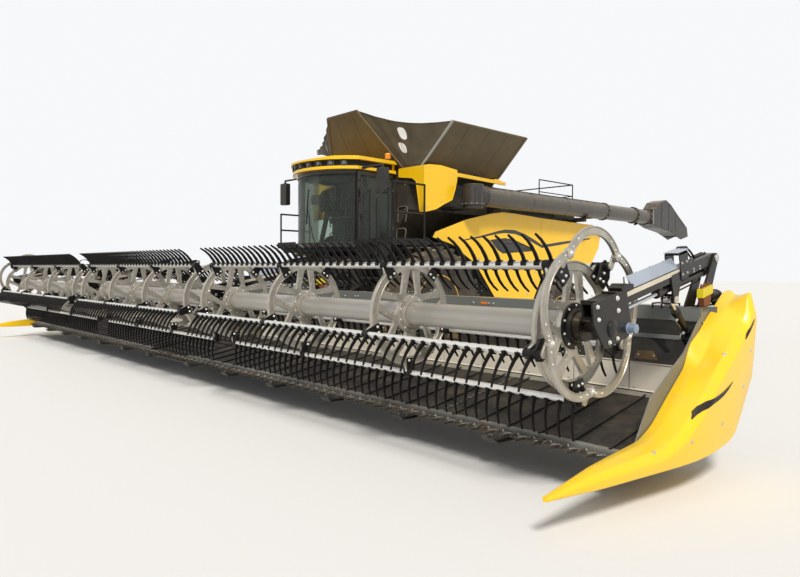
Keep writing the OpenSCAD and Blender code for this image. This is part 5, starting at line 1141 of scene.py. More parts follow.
# HEADER FRAME
# A box beam runs the whole width with a black back sheet below it and pale lower
# panels that close the gap to the decks. Straps, gussets and bolts hold the sheets.
beam_grey = finish("header frame enamel", srgb(106, 110, 108), 0.38, coat=0.18, dust=0.30, mottle=0.08)
panel_cream = finish("pale sheet with straw dust", srgb(214, 206, 190), 0.5, dust=0.30, mottle=0.07)
dusty_bronze = finish("dusty brown plate", srgb(112, 88, 54), 0.6, dust=0.35)
beam_front, sheet_front, beam_back, header_end = -5.150, -5.130, -4.980, 7.585
second_paint_and_shade(beam_grey, "grey frame with a black back sheet", "header_frame", srgb(12, 12, 12),
    z=(0.905, 0.3235))
wear(beam_grey, "header_supports")
span_l = 1.1367
span_at = [0.72 + span_l * i for i in range(7)]
pale, straps, gussets, plates, frame_bolts, back_ribs, skids = [], [], [], [], [], [], []
for x0, x1 in zip(span_at, span_at[1:]):
    for a, b in ((x0, x0 + span_l / 2), (x0 + span_l / 2, x1)):
        pale.append(cut_sheet([(sheet_front + 0.001, 0.583), (sheet_front - 0.016, 0.590),
            (sheet_front - 0.006, 0.602), (sheet_front - 0.005, 0.826), (sheet_front - 0.014, 0.838),
            (sheet_front + 0.001, 0.844)], "x", a + 0.004, min(b - 0.004, header_end)))
        frame_bolts += [bolt((a + d, sheet_front - 0.0055, z), (0, -1, 0), 0.0075)
            for d in (0.05, 0.518) for z in (0.62, 0.808)]
    straps.append(block((x1 - 0.625, sheet_front - 0.006, 1.09), (x1 - 0.600, sheet_front + 0.001, 1.229)))
    m = x1 - 0.34
    gussets.append(cut_sheet([(m - 0.075, 1.08), (m + 0.06, 1.08), (m + 0.135, 0.955),
        (m + 0.10, 0.945), (m + 0.02, 1.03)], "y", sheet_front - 0.014, sheet_front + 0.001))
    plates.append(cut_sheet([(m - 0.19, 0.872), (m - 0.15, 0.948), (m - 0.01, 0.948),
        (m + 0.045, 0.872)], "y", sheet_front - 0.012, sheet_front + 0.001))
    frame_bolts += [bolt((x1 - 0.6125, sheet_front - 0.006, z), (0, -1, 0), 0.008) for z in (1.13, 1.205)]
    frame_bolts += [bolt((m + d, sheet_front - 0.012, 0.91), (0, -1, 0), 0.008) for d in (-0.14, 0.0)]
    frame_bolts += [bolt((x0 + d, beam_front, 1.29), (0, -1, 0), 0.011) for d in (0.10, 0.16, 1.02)]
for x in span_at:
    back_ribs.append(cut_sheet([(-5.106, 1.2295), (-4.984, 1.2295), (-4.984, 1.13), (-5.062, 0.96),
        (-5.062, 0.74), (-4.984, 0.63), (-4.984, 0.5805), (-5.106, 0.5805)], "x", max(x, 0.78) - 0.005,
        max(x, 0.78) + 0.005))
    back_ribs.append(block((x + 0.04, beam_back - 0.001, 1.222), (x + 0.12, beam_back + 0.008, 1.352)))
    frame_bolts += [bolt((x + 0.08, beam_back + 0.008, z), (0, 1, 0), 0.012) for z in (1.245, 1.32)]
    skids.append(cut_sheet([(-6.405, 0.262), (-6.37, 0.221), (-6.15, 0.219), (-5.72, 0.322),
        (-5.72, 0.315), (-6.15, 0.211), (-6.375, 0.213), (-6.412, 0.258)], "x", x - 0.075,
        min(x + 0.075, header_end)))
straps.append(block((0.67, sheet_front - 0.022, 1.066), (header_end, sheet_front + 0.001, 1.102)))
back_ribs.append(block((0.80, -5.106, 0.885), (7.57, -5.085, 0.925)))
fitted("header_pale_panels", both_sides(pale), panel_cream, "header", ease=0.0015)
fitted("header_rails", both_sides(straps), beam_grey, "header", ease=0.003)
fitted("header_gussets", both_sides(gussets), black_trim, "header", ease=0.003)
fitted("header_plates", both_sides(plates), dusty_bronze, "header", ease=0.002)
fitted("header_back_ribs", both_sides(back_ribs), beam_grey, "header", ease=0.002)
fitted("header_skids", both_sides(skids), frame_black, "header")
fitted("header_bolts", both_sides(frame_bolts), zinc, "header")
lines = []
for k, z in enumerate((1.252, 1.281, 1.310)):
    lines.append(sweep([(x, beam_back + 0.018, z) for x in (0.30 + 0.05 * k, 2.5, 5.0,
        7.30 - 0.08 * k)], 0.008, 8))
    lines.append(sweep([(7.30 - 0.08 * k, beam_back + 0.018, z),
        (7.33 - 0.08 * k, beam_back + 0.020, z + 0.02), (7.34 - 0.08 * k, beam_back + 0.012, 1.365),
        (7.34 - 0.08 * k, -5.05, 1.368), (7.34 - 0.08 * k, -5.14, 1.366),
        (7.35 - 0.08 * k, -5.162, 1.33)], 0.008, 8))
fitted("header_pipes", both_sides(lines), black_trim, "header")
clips = [block((x - 0.015, beam_back - 0.001, 1.238), (x + 0.015, beam_back + 0.030, 1.324))
    for x in [0.9 + 0.8 * k for k in range(8)]]
fitted("pipe_clips", both_sides(clips), black_trim, "header", ease=0.004)
lens_red = finish("red reflector", srgb(170, 18, 14), 0.25, coat=0.5, dust=0.15)
lens_amber = finish("amber reflector", srgb(235, 130, 20), 0.25, coat=0.5, dust=0.15)
fitted("header_red_reflectors", both_sides([turned((7.46, beam_back + 0.001, 1.29), (0, 1, 0),
    [(0, 0.04), (0.006, 0.04), (0.009, 0.03), (0.009, 0)], 28)]), lens_red, "header")
fitted("header_amber_reflectors", both_sides([block((x - 0.045, beam_front - 0.006, 1.275),
    (x + 0.045, beam_front + 0.001, 1.305)) for x in (1.9, 5.3)]), lens_amber, "header", ease=0.002)

# DRAPER DECKS
# Three rubber belts with moulded cleats carry the cut crop to the middle. Steel guards
# cover their front and rear edges, and each belt is laced with a strip of rivets.
belt_rubber = finish("draper rubber", srgb(24, 24, 25), 0.62, shine=0.3, dust=0.07, grain=0.25,
    drawn=(1, 6, 1), mottle=0.18)
wear(belt_rubber, "draper_decks")
deck_lean = math.radians(10.09)


def on_deck(x, along, up):
    return (x, -6.340 + along * math.cos(deck_lean) - up * math.sin(deck_lean),
        0.350 + along * math.sin(deck_lean) + up * math.cos(deck_lean))


def deck_strip(x0, x1, points):
    return cut_sheet([on_deck(0, a, u)[1:] for a, u in points], "x", x0, x1)


edge_guards = [deck_strip(0.665, 7.575, ((-0.012, -0.028), (-0.004, 0.007), (0.048, 0.0055),
    (0.050, 0.0025), (0.0, 0.003), (-0.006, -0.028)))]
for a, b in zip([0.68] + [x + 0.003 for x in span_at[1:-1]], [x - 0.003 for x in span_at[1:-1]] + [7.57]):
    edge_guards.append(deck_strip(a, b, ((1.14, 0.004), (1.195, 0.026), (1.20, 0.023), (1.145, 0.0015))))
fitted("deck_edge_guards", both_sides(edge_guards), beam_grey, "header")
lacing = [deck_strip(x, x + 0.055, ((0.03, 0.0), (0.03, 0.0035), (1.13, 0.0035), (1.13, 0.0)))
    for x in (2.68, 5.73)]
rivets = [turned(on_deck(x + d, 0.06 + 0.066 * k, 0.003), (0, -math.sin(deck_lean),
    math.cos(deck_lean)), [(0, 0.007), (0.002, 0.006), (0.003, 0)], 8) for x in (2.68, 5.73)
    for d in (0.014, 0.041) for k in range(17)]
fitted("belt_lacing", both_sides(lacing), black_trim, "header")
fitted("belt_rivets", both_sides(rivets), zinc, "header")
middle_cleats = [deck_strip(-0.60, 0.60, ((a, -0.040), (a + 0.02, -0.040), (a + 0.016, -0.022),
    (a + 0.004, -0.022))) for a in [0.10 + 0.16 * k for k in range(8)]]
fitted("middle_belt_cleats", middle_cleats, belt_rubber, "header")

# KNIFE
# Forged guards stand on the cutterbar, and a row of bright toothed sections runs in
# them from end to end under hold-down clips.
section_pitch, guard_pitch = 0.0762, 0.15354
knife_cast = finish("worn guard casting", srgb(74, 70, 64), 0.5, metal=0.6, dust=0.35)
knife_bright = finish("bright knife steel", srgb(188, 184, 176), 0.28, metal=0.9, dust=0.12)
wear(knife_cast, "cutterbar")
sections = [([(x - 0.036, -6.372, 0.3305), (x + 0.036, -6.372, 0.3305), (x + 0.007, -6.442, 0.3305),
    (x - 0.007, -6.442, 0.3305), (x - 0.030, -6.374, 0.3335), (x + 0.030, -6.374, 0.3335),
    (x + 0.005, -6.430, 0.3335), (x - 0.005, -6.430, 0.3335)], skin(2, 4))
    for x in [0.038 + section_pitch * k for k in range(99)]]
fitted("knife_sections", both_sides(sections), knife_bright, "header", keep=20)
guard_at = [0.0768 + guard_pitch * k for k in range(49)]
lips = [([(x - 0.016, -6.385, 0.328), (x + 0.016, -6.385, 0.328), (x + 0.004, -6.475, 0.328),
    (x - 0.004, -6.475, 0.328), (x - 0.010, -6.392, 0.349), (x + 0.010, -6.392, 0.349),
    (x + 0.003, -6.455, 0.340), (x - 0.003, -6.455, 0.340)], skin(2, 4)) for x in guard_at[:-1]]
fitted("guard_lips", both_sides(lips), knife_cast, "header", keep=25)
fitted("guard_bolts", both_sides([bolt((x, -6.362, 0.3295), (0, 0, 1), 0.009) for x in guard_at[:-1]]),
    zinc, "header")
hold_downs = [cut_sheet([(-6.352, 0.329), (-6.352, 0.338), (-6.380, 0.342), (-6.412, 0.341),
    (-6.414, 0.337), (-6.384, 0.336)], "x", x - 0.018, x + 0.018)
    for x in [0.155 + 0.6142 * k for k in range(12)]]
fitted("knife_clips", both_sides(hold_downs), knife_cast, "header")

# CROP DIVIDERS
# Each end of the header carries a big divider moulded in yellow plastic. It is bolted
# to the end plate and bears a black swoosh on its outer face, and its hand slot is drawn
# there as a black strip of painted shade.
divider_plastic = finish("yellow divider plastic", srgb(252, 205, 4), 0.36, coat=0.22, mottle=0.03,
    mottle_size=1.5, dust=0.14, edge=0.0)
divider_corners = {tuple(round(c, 4) for c in nodes["dividers"].matrix_world @ v.co)
    for v in nodes["dividers"].data.vertices}
divider_cuts = {}
for corner in sorted(divider_corners):
    if corner[0] > 0:
        cut = divider_cuts.setdefault(round(corner[1], 3), [])
        if all(math.dist(corner, other) > 0.0003 for other in cut):
            cut.append(corner)


def round_the_cut(cut):
    foot = (cut[0][0], cut[0][1], min(c[2] for c in cut))
    cut = cut + ([foot] if foot not in cut else [])
    x0, z0 = sum(c[0] for c in cut) / len(cut), sum(c[2] for c in cut) / len(cut)
    ring = sorted(cut, key=lambda c: math.atan2(c[2] - z0, c[0] - x0))
    foot = min(range(len(ring)), key=lambda i: (round(ring[i][0], 2), ring[i][2]))
    return ring[foot:] + ring[:foot]


def rounded_ring(ring, turn=0.016, steps=4):
    out = []
    for i, corner in enumerate(ring):
        back, on = ring[i - 1] - corner, ring[(i + 1) % len(ring)] - corner
        start = corner + back * min(turn / max(back.length, 1e-4), 0.42)
        stop = corner + on * min(turn / max(on.length, 1e-4), 0.42)
        for t in [k / (steps - 1) for k in range(steps)]:
            out.append(start * (1 - t) ** 2 + corner * 2 * t * (1 - t) + stop * t * t)
    return out


# The mould's surface is drawn from cut to cut, then eased along its length so that one
# form runs into the next, and its corners are rounded.
def moulded_divider(steps=96, passes=3):
    rows = [[Vector(c) for c in round_the_cut(divider_cuts[y])] for y in sorted(divider_cuts)]
    ys = [row[0].y for row in rows]
    drawn = []
    for k in range(steps + 1):
        y = ys[0] + (ys[-1] - ys[0]) * k / steps
        i = max(j for j in range(len(ys) - 1) if ys[j] <= y + 1e-6)
        t = (y - ys[i]) / (ys[i + 1] - ys[i])
        drawn.append([a.lerp(b, t) for a, b in zip(rows[i], rows[i + 1])])
    for _ in range(passes):
        drawn = [drawn[0]] + [[(a + 2 * b + c) / 4 for a, b, c in zip(*drawn[k - 1:k + 2])]
            for k in range(1, steps)] + [drawn[-1]]
    drawn = [rounded_ring(row) for row in drawn]
    return [tuple(p) for row in drawn for p in row], skin(steps + 1, len(drawn[0]))


divider_mould = moulded_divider()
divider_pair = fitted("moulded_dividers", both_sides([divider_mould]), divider_plastic, "header", keep=50)
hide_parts("dividers")
divider_face = BVHTree.FromPolygons(*divider_mould)


def on_divider(y, z, proud):
    at, out, _, _ = divider_face.ray_cast(Vector((9, y, z)), Vector((-1, 0, 0)))
    return tuple(at + (out if out.x > 0 else -out) * proud) if at else (7.89, y, z)


def stroke_on_divider(marks, steps=4):
    v = []
    line = [tuple(a + (b - a) * k / 6 for a, b in zip(p, q)) for p, q in zip(marks, marks[1:])
        for k in range(6)] + [marks[-1]]
    for i, (y, z, half_width) in enumerate(line):
        before, after = line[max(0, i - 1)], line[min(len(line) - 1, i + 1)]
        way = math.atan2(after[1] - before[1], after[0] - before[0])
        for t in range(steps + 1):
            d = half_width * (2 * t / steps - 1)
            v.append(on_divider(y - math.sin(way) * d, z + math.cos(way) * d, 0.0035))
    return v, sheet_faces(len(line), steps + 1)


swoosh = [(-5.860, 0.574, 0.003), (-5.812, 0.610, 0.012), (-5.755, 0.640, 0.018),
    (-5.680, 0.665, 0.021), (-5.600, 0.682, 0.021), (-5.510, 0.696, 0.019), (-5.420, 0.715, 0.017),
    (-5.330, 0.745, 0.012), (-5.240, 0.788, 0.002)]
# The hand slot is a black strip laid on the face: painted shade that stands for its opening.
slot = [(-5.020, 1.104, 0.004), (-4.985, 1.130, 0.013), (-4.915, 1.180, 0.016), (-4.855, 1.222, 0.014),
    (-4.812, 1.256, 0.003)]
fitted("divider_swoosh", both_sides([stroke_on_divider(swoosh), stroke_on_divider(slot)]), black_trim,
    "header")
divider_screws = []
for y, z in ((-6.30, 0.40), (-5.90, 0.42), (-5.40, 0.48), (-5.00, 0.72), (-4.86, 1.00), (-5.30, 1.00),
        (-5.75, 0.86)):
    at = Vector(on_divider(y, z, 0.0))
    divider_screws.append(turned(at, Vector(on_divider(y, z, 1.0)) - at,
        [(-0.002, 0.016), (0.003, 0.015), (0.005, 0.009), (0.003, 0)], 16))
fitted("divider_screws", both_sides(divider_screws), zinc, "header")

# REEL
# Three sections turn on one axis. Each has a rolled centre tube, cast spoked discs, five
# bright steel bats and black plastic tines clamped along them.
tube_dusty = finish("rolled reel tube", srgb(176, 173, 165), 0.34, metal=0.4, dust=0.28, mottle=0.12,
    mottle_size=2, drawn=(0.2, 1, 1))
casting = finish("grey alloy casting", srgb(176, 171, 160), 0.33, metal=0.62, dust=0.16, mottle=0.16,
    mottle_size=9, grain=0.12, edge=0.005)
tine_plastic = finish("black tine plastic", srgb(10, 10, 10), 0.45, dust=0.03, edge=0.0, shine=0.2)
clamp_black = finish("black clamp paint", srgb(11, 11, 12), 0.4, dust=0.05, shine=0.28)
bolt_white = finish("bright bolt heads", srgb(224, 224, 220), 0.3, metal=0.35, dust=0.05)
wear(tube_dusty, "reel_core_middle")
for word, side in (("left", 1), ("right", -1)):
    second_paint_and_shade(tube_dusty, "reel tube with a black end " + word, "reel_core_" + word, srgb(12, 12, 13),
        x=(side * 7.47, 0.14))
for word in ("left", "middle", "right"):
    second_paint_and_shade(casting, "grey casting with bright bats " + word, "reel_bats_" + word,
        srgb(226, 225, 221), x=(0, 7.385), out=(0.555, 0.055))
bat_r = 0.530
bat_angles = (53, 125, 197, 269, 341)
tine_ways = (-48, 135, 236, 268, 292)
tine_bend, tine_link = 22, 0.07125


def on_reel(x, r, a):
    a = math.radians(a)
    return Vector((x, reel_at.y + r * math.cos(a), reel_at.z + r * math.sin(a)))


def heading(a):
    return Vector((0, math.cos(math.radians(a)), math.sin(math.radians(a))))


# A tine's sleeve is an eight-sided blade that follows the bend and ends in a rounded tip,
# and its clip holds the side of the bat that the tine leaves from.
def tine(at, way):
    ring = [(1, 0.35), (0.35, 1), (-0.35, 1), (-1, 0.35), (-1, -0.35), (-0.35, -1), (0.35, -1), (1, -0.35)]
    v, p = [], at + heading(way - tine_bend) * 0.012
    for k in range(6):
        turn = way + tine_bend * (2 * min(k, 4) / 4 - 1)
        wide, thick = (0.0200 - 0.0028 * k, 0.0090 - 0.0004 * k) if k < 5 else (0.0030, 0.004)
        v += [tuple(p + heading(turn + 90) * wide * a + Vector((thick * b, 0, 0))) for a, b in ring]
        p = p + heading(way + tine_bend * (2 * (k + 0.5) / 4 - 1)) * (tine_link if k < 4 else 0.004)
        if k == 0:
            p = at + heading(way - 16.5) * tine_link
    f = skin(6, 8)[:-2] + [tuple(range(40, 48))]
    n = len(v)
    for s in (-0.021, 0.021):
        v.append(tuple(at + Vector((s, 0, 0))))
        v += [tuple(at + Vector((s, 0, 0)) + heading(way + a) * r) for a, r in
              ((-62, 0.030), (-36, 0.033), (-12, 0.036), (12, 0.036), (36, 0.033), (62, 0.030))]
    f += [tuple(range(n, n + 7)), tuple(range(n + 13, n + 6, -1))]
    f += [(n + j, n + (j + 1) % 7, n + 7 + (j + 1) % 7, n + 7 + j) for j in range(7)]
    return v, f


# One clamp at each crossing of a bat and a disc: a split ring with ears, drawn up by bolts.
def bat_clamp(x, a, out):
    at = on_reel(x, bat_r, a)
    side, up = heading(a + 90), heading(a)
    shapes = [turned(at - out * 0.034, out, collar(0, 0.068, 0.027, 0.033), 16)]
    for s in (-1, 1):
        foot = [at + side * w + up * h for w, h in ((-0.052, -0.135), (0.052, -0.135), (0.040, 0.012),
            (-0.040, 0.012))]
        x0 = x + s * 0.0155
        shapes.append(([(x0, p.y, p.z) for p in foot] + [(x0 + s * 0.012, p.y, p.z) for p in foot],
            skin(2, 4)))
    heads = [bolt(on_reel(x, bat_r, a) + Vector((s * 0.0275, 0, 0)) + up * h + side * w, (s, 0, 0),
        0.0105) for s in (-1, 1) for w, h in ((-0.026, -0.112), (0.026, -0.112))]
    return shapes, heads


def rolled_ring(x, r, thick, sides=96):
    return sweep([tuple(on_reel(x, r, 360 * k / sides)) for k in range(sides)], thick, 6, closed=True)


def reel_section(word, low, length, discs, tines, sign):
    blades, clamps, heads, rims, hubs, end_hubs = [], [], [], [], [], []
    for way, a in zip(tine_ways, bat_angles):
        for k in range(tines):
            x = sign * (low + 0.030 + (k + 0.5) * (length - 0.060) / tines)
            blades.append(tine(on_reel(x, bat_r, a), way))
    for d in discs:
        x = sign * (low + d)
        for s in (-1, 1):
            face = x + s * 0.0150
            rims += [rolled_ring(face, 0.456, 0.008), rolled_ring(face, 0.398, 0.005)]
            end = word != "middle" and d > 4 and s == sign
            (end_hubs if end else hubs).append(turned((face - s * 0.001, reel_at.y, reel_at.z),
                (s, 0, 0), [(0, 0.103), (0, 0.168), (0.014, 0.164), (0.020, 0.128), (0.045, 0.118),
                (0.045, 0.103)], 48))
            for k in range(10):
                heads.append(bolt(on_reel(face + s * 0.0125, 0.148, 36 * k + 18), (s, 0, 0), 0.009))
            for a in bat_angles:
                for t in (-1, 1):
                    for r, b in ((0.20, 25.5), (0.25, 21.5), (0.30, 18.8), (0.35, 16.8)):
                        heads.append(turned(on_reel(face, r, a + t * b), (s, 0, 0),
                            [(-0.001, 0.0055), (0.002, 0.0045), (0.003, 0)], 6))
        for a in bat_angles:
            shapes, bolts = bat_clamp(x, a, Vector((1, 0, 0)))
            clamps += shapes
            heads += bolts
    reel = "reel_" + word
    fitted(reel + "_tines", blades, tine_plastic, reel, keep=50)
    fitted(reel + "_bat_clamps", clamps, clamp_black, reel)
    fitted(reel + "_disc_bolts", heads, bolt_white, reel)
    fitted(reel + "_disc_rims", rims, casting, reel, keep=60)
    fitted(reel + "_hub_flanges", hubs, casting, reel)
    if end_hubs:
        fitted(reel + "_end_hub", end_hubs, clamp_black, reel)


outer_discs = (0.020, 1.530, 3.170, 4.840)
reel_section("middle", -2.0, 4.0, (0.020, 1.350, 2.650, 3.980), 35, 1)
reel_section("left", 2.44, 4.96, outer_discs, 44, 1)
reel_section("right", 2.44, 4.96, outer_discs, 44, -1)

# REEL ENDS
# A cast ring with five bowed arcs joins the cranks at each end of the reel. Raised edges
# stiffen it, and black shields with bright bolts cover the crank pins.
ring_x, ring_shift = 7.421, Vector((0, 0.045, 0.075))
half_chord = bat_r * math.sin(math.radians(36))
ring_out_r = 0.600
bow = ring_out_r - bat_r * math.cos(math.radians(36))
bow_r = (half_chord * half_chord + bow * bow) / (2 * bow)
bow_span = math.degrees(math.asin(half_chord / bow_r)) if bow < bow_r else 90
edges, shields, pins, pads = [], [], [], []
for a in bat_angles:
    middle = on_reel(0, ring_out_r - bow_r, a + 36) + ring_shift
    band = []
    for b in [bow_span * 0.93 * (k / 10 - 1) for k in range(21)]:
        band += [tuple(middle + heading(a + 36 + b) * (bow_r + d) + Vector((ring_x + x, 0, 0)))
            for d, x in ((-0.030, -0.012), (-0.030, 0.008), (-0.024, 0.008), (-0.021, 0.002),
            (0.021, 0.002), (0.024, 0.008), (0.030, 0.008), (0.030, -0.012))]
    edges.append((band, skin(21, 8)))
    pin = on_reel(ring_x, bat_r, a) + ring_shift
    pads.append(turned(pin, (1, 0, 0), [(-0.001, 0.040), (0.008, 0.039), (0.011, 0.032), (0.011, 0)], 28))
    pins.append(turned(pin + Vector((0.011, 0, 0)), (1, 0, 0),
        [(-0.001, 0.021), (0.003, 0.020), (0.004, 0)], 24))
    pins.append(bolt(pin + Vector((0.0145, 0, 0)), (1, 0, 0), 0.0115))
    for t in (-1, 1):
        for b in (9, 22):
            at = middle + heading(a + 36 + t * (bow_span - b)) * bow_r + Vector((ring_x, 0, 0))
            pins.append(bolt(at, (1, 0, 0), 0.008))
    side, up = heading(a + 90), heading(a)
    root = on_reel(7.352, bat_r, a)
    wing = [(-0.075, -0.150), (0.030, -0.165), (0.062, -0.02), (0.038, 0.034), (-0.038, 0.034),
        (-0.088, -0.04)]
    shields.append(cut_sheet([((root + side * w + up * h).y, (root + side * w + up * h).z)
        for w, h in wing], "x", 7.345, 7.361))
    shields.append(turned(root + Vector((-0.03, 0, 0)), (1, 0, 0), collar(0, 0.062, 0.027, 0.036), 20))
    for w, h in ((0.0, -0.060), (-0.03, -0.115), (0.018, -0.125)):
        pins.append(bolt(root + side * w + up * h + Vector((0.009, 0, 0)), (1, 0, 0), 0.010))
for side, word in ((1, "left"), (-1, "right")):
    for name, shapes, paint in (("ring_edges", edges, casting), ("ring_pads", pads, casting),
            ("crank_shields", shields, clamp_black), ("ring_bolts", pins, bolt_white)):
        fitted("reel_" + word + "_" + name, on_side(side, shapes), paint, "reel_" + word, keep=50)

# REEL ARMS, SLIDES AND CYLINDERS
# Four box arms hang from brackets on the beam. A sleeve slides on each with the reel's
# bearing, pushed by a ram under the arm, and a short cylinder lifts the arm.
arm_black = finish("black arm paint", srgb(14, 14, 15), 0.34, dust=0.08, shine=0.35)
cover_pale = finish("pale cover plate", srgb(158, 168, 182), 0.3, metal=0.2, coat=0.2, dust=0.12)
rail_cream = finish("dusty bright rail", srgb(214, 204, 184), 0.35, metal=0.3, dust=0.25)
valve_yellow = finish("yellow valve paint", srgb(214, 196, 20), 0.45, dust=0.2)
valve_brown = finish("rust brown primer", srgb(112, 58, 34), 0.6, dust=0.3)
chrome = finish("hard chrome", srgb(208, 210, 214), 0.14, metal=1.0, dust=0.0, mottle=0.03, grain=0.02)
wear(arm_black, "reel_arms", "lift_barrels", "reel_lift_barrels")
second_paint_and_shade(arm_black, "black slide with a chromed rod", "reel_slides", srgb(206, 212, 222), out=(0.60, 0.33))
wear(clamp_black, "reel_brackets")
wear(chrome, "lift_rods", "reel_lift_rods")
arm_lean = math.radians(11.5)
arm_xs = (-7.52, -2.22, 2.22, 7.52)
arm_foot, reel_lift_low, reel_lift_top = (-4.820, 1.760), (-5.190, 1.100), (-5.550, 1.420)
feeder_lift_low, feeder_lift_top, feeder_lift_xs = (-2.800, 0.820), (-4.400, 0.560), (-0.480, 0.480)


def on_arm(x, along, up):
    return Vector((x, arm_foot[0] - along * math.cos(arm_lean) - up * math.sin(arm_lean),
        arm_foot[1] - along * math.sin(arm_lean) + up * math.cos(arm_lean)))


def arm_plate(x0, x1, points):
    return cut_sheet([tuple(on_arm(0, a, u))[1:] for a, u in points], "x", x0, x1)


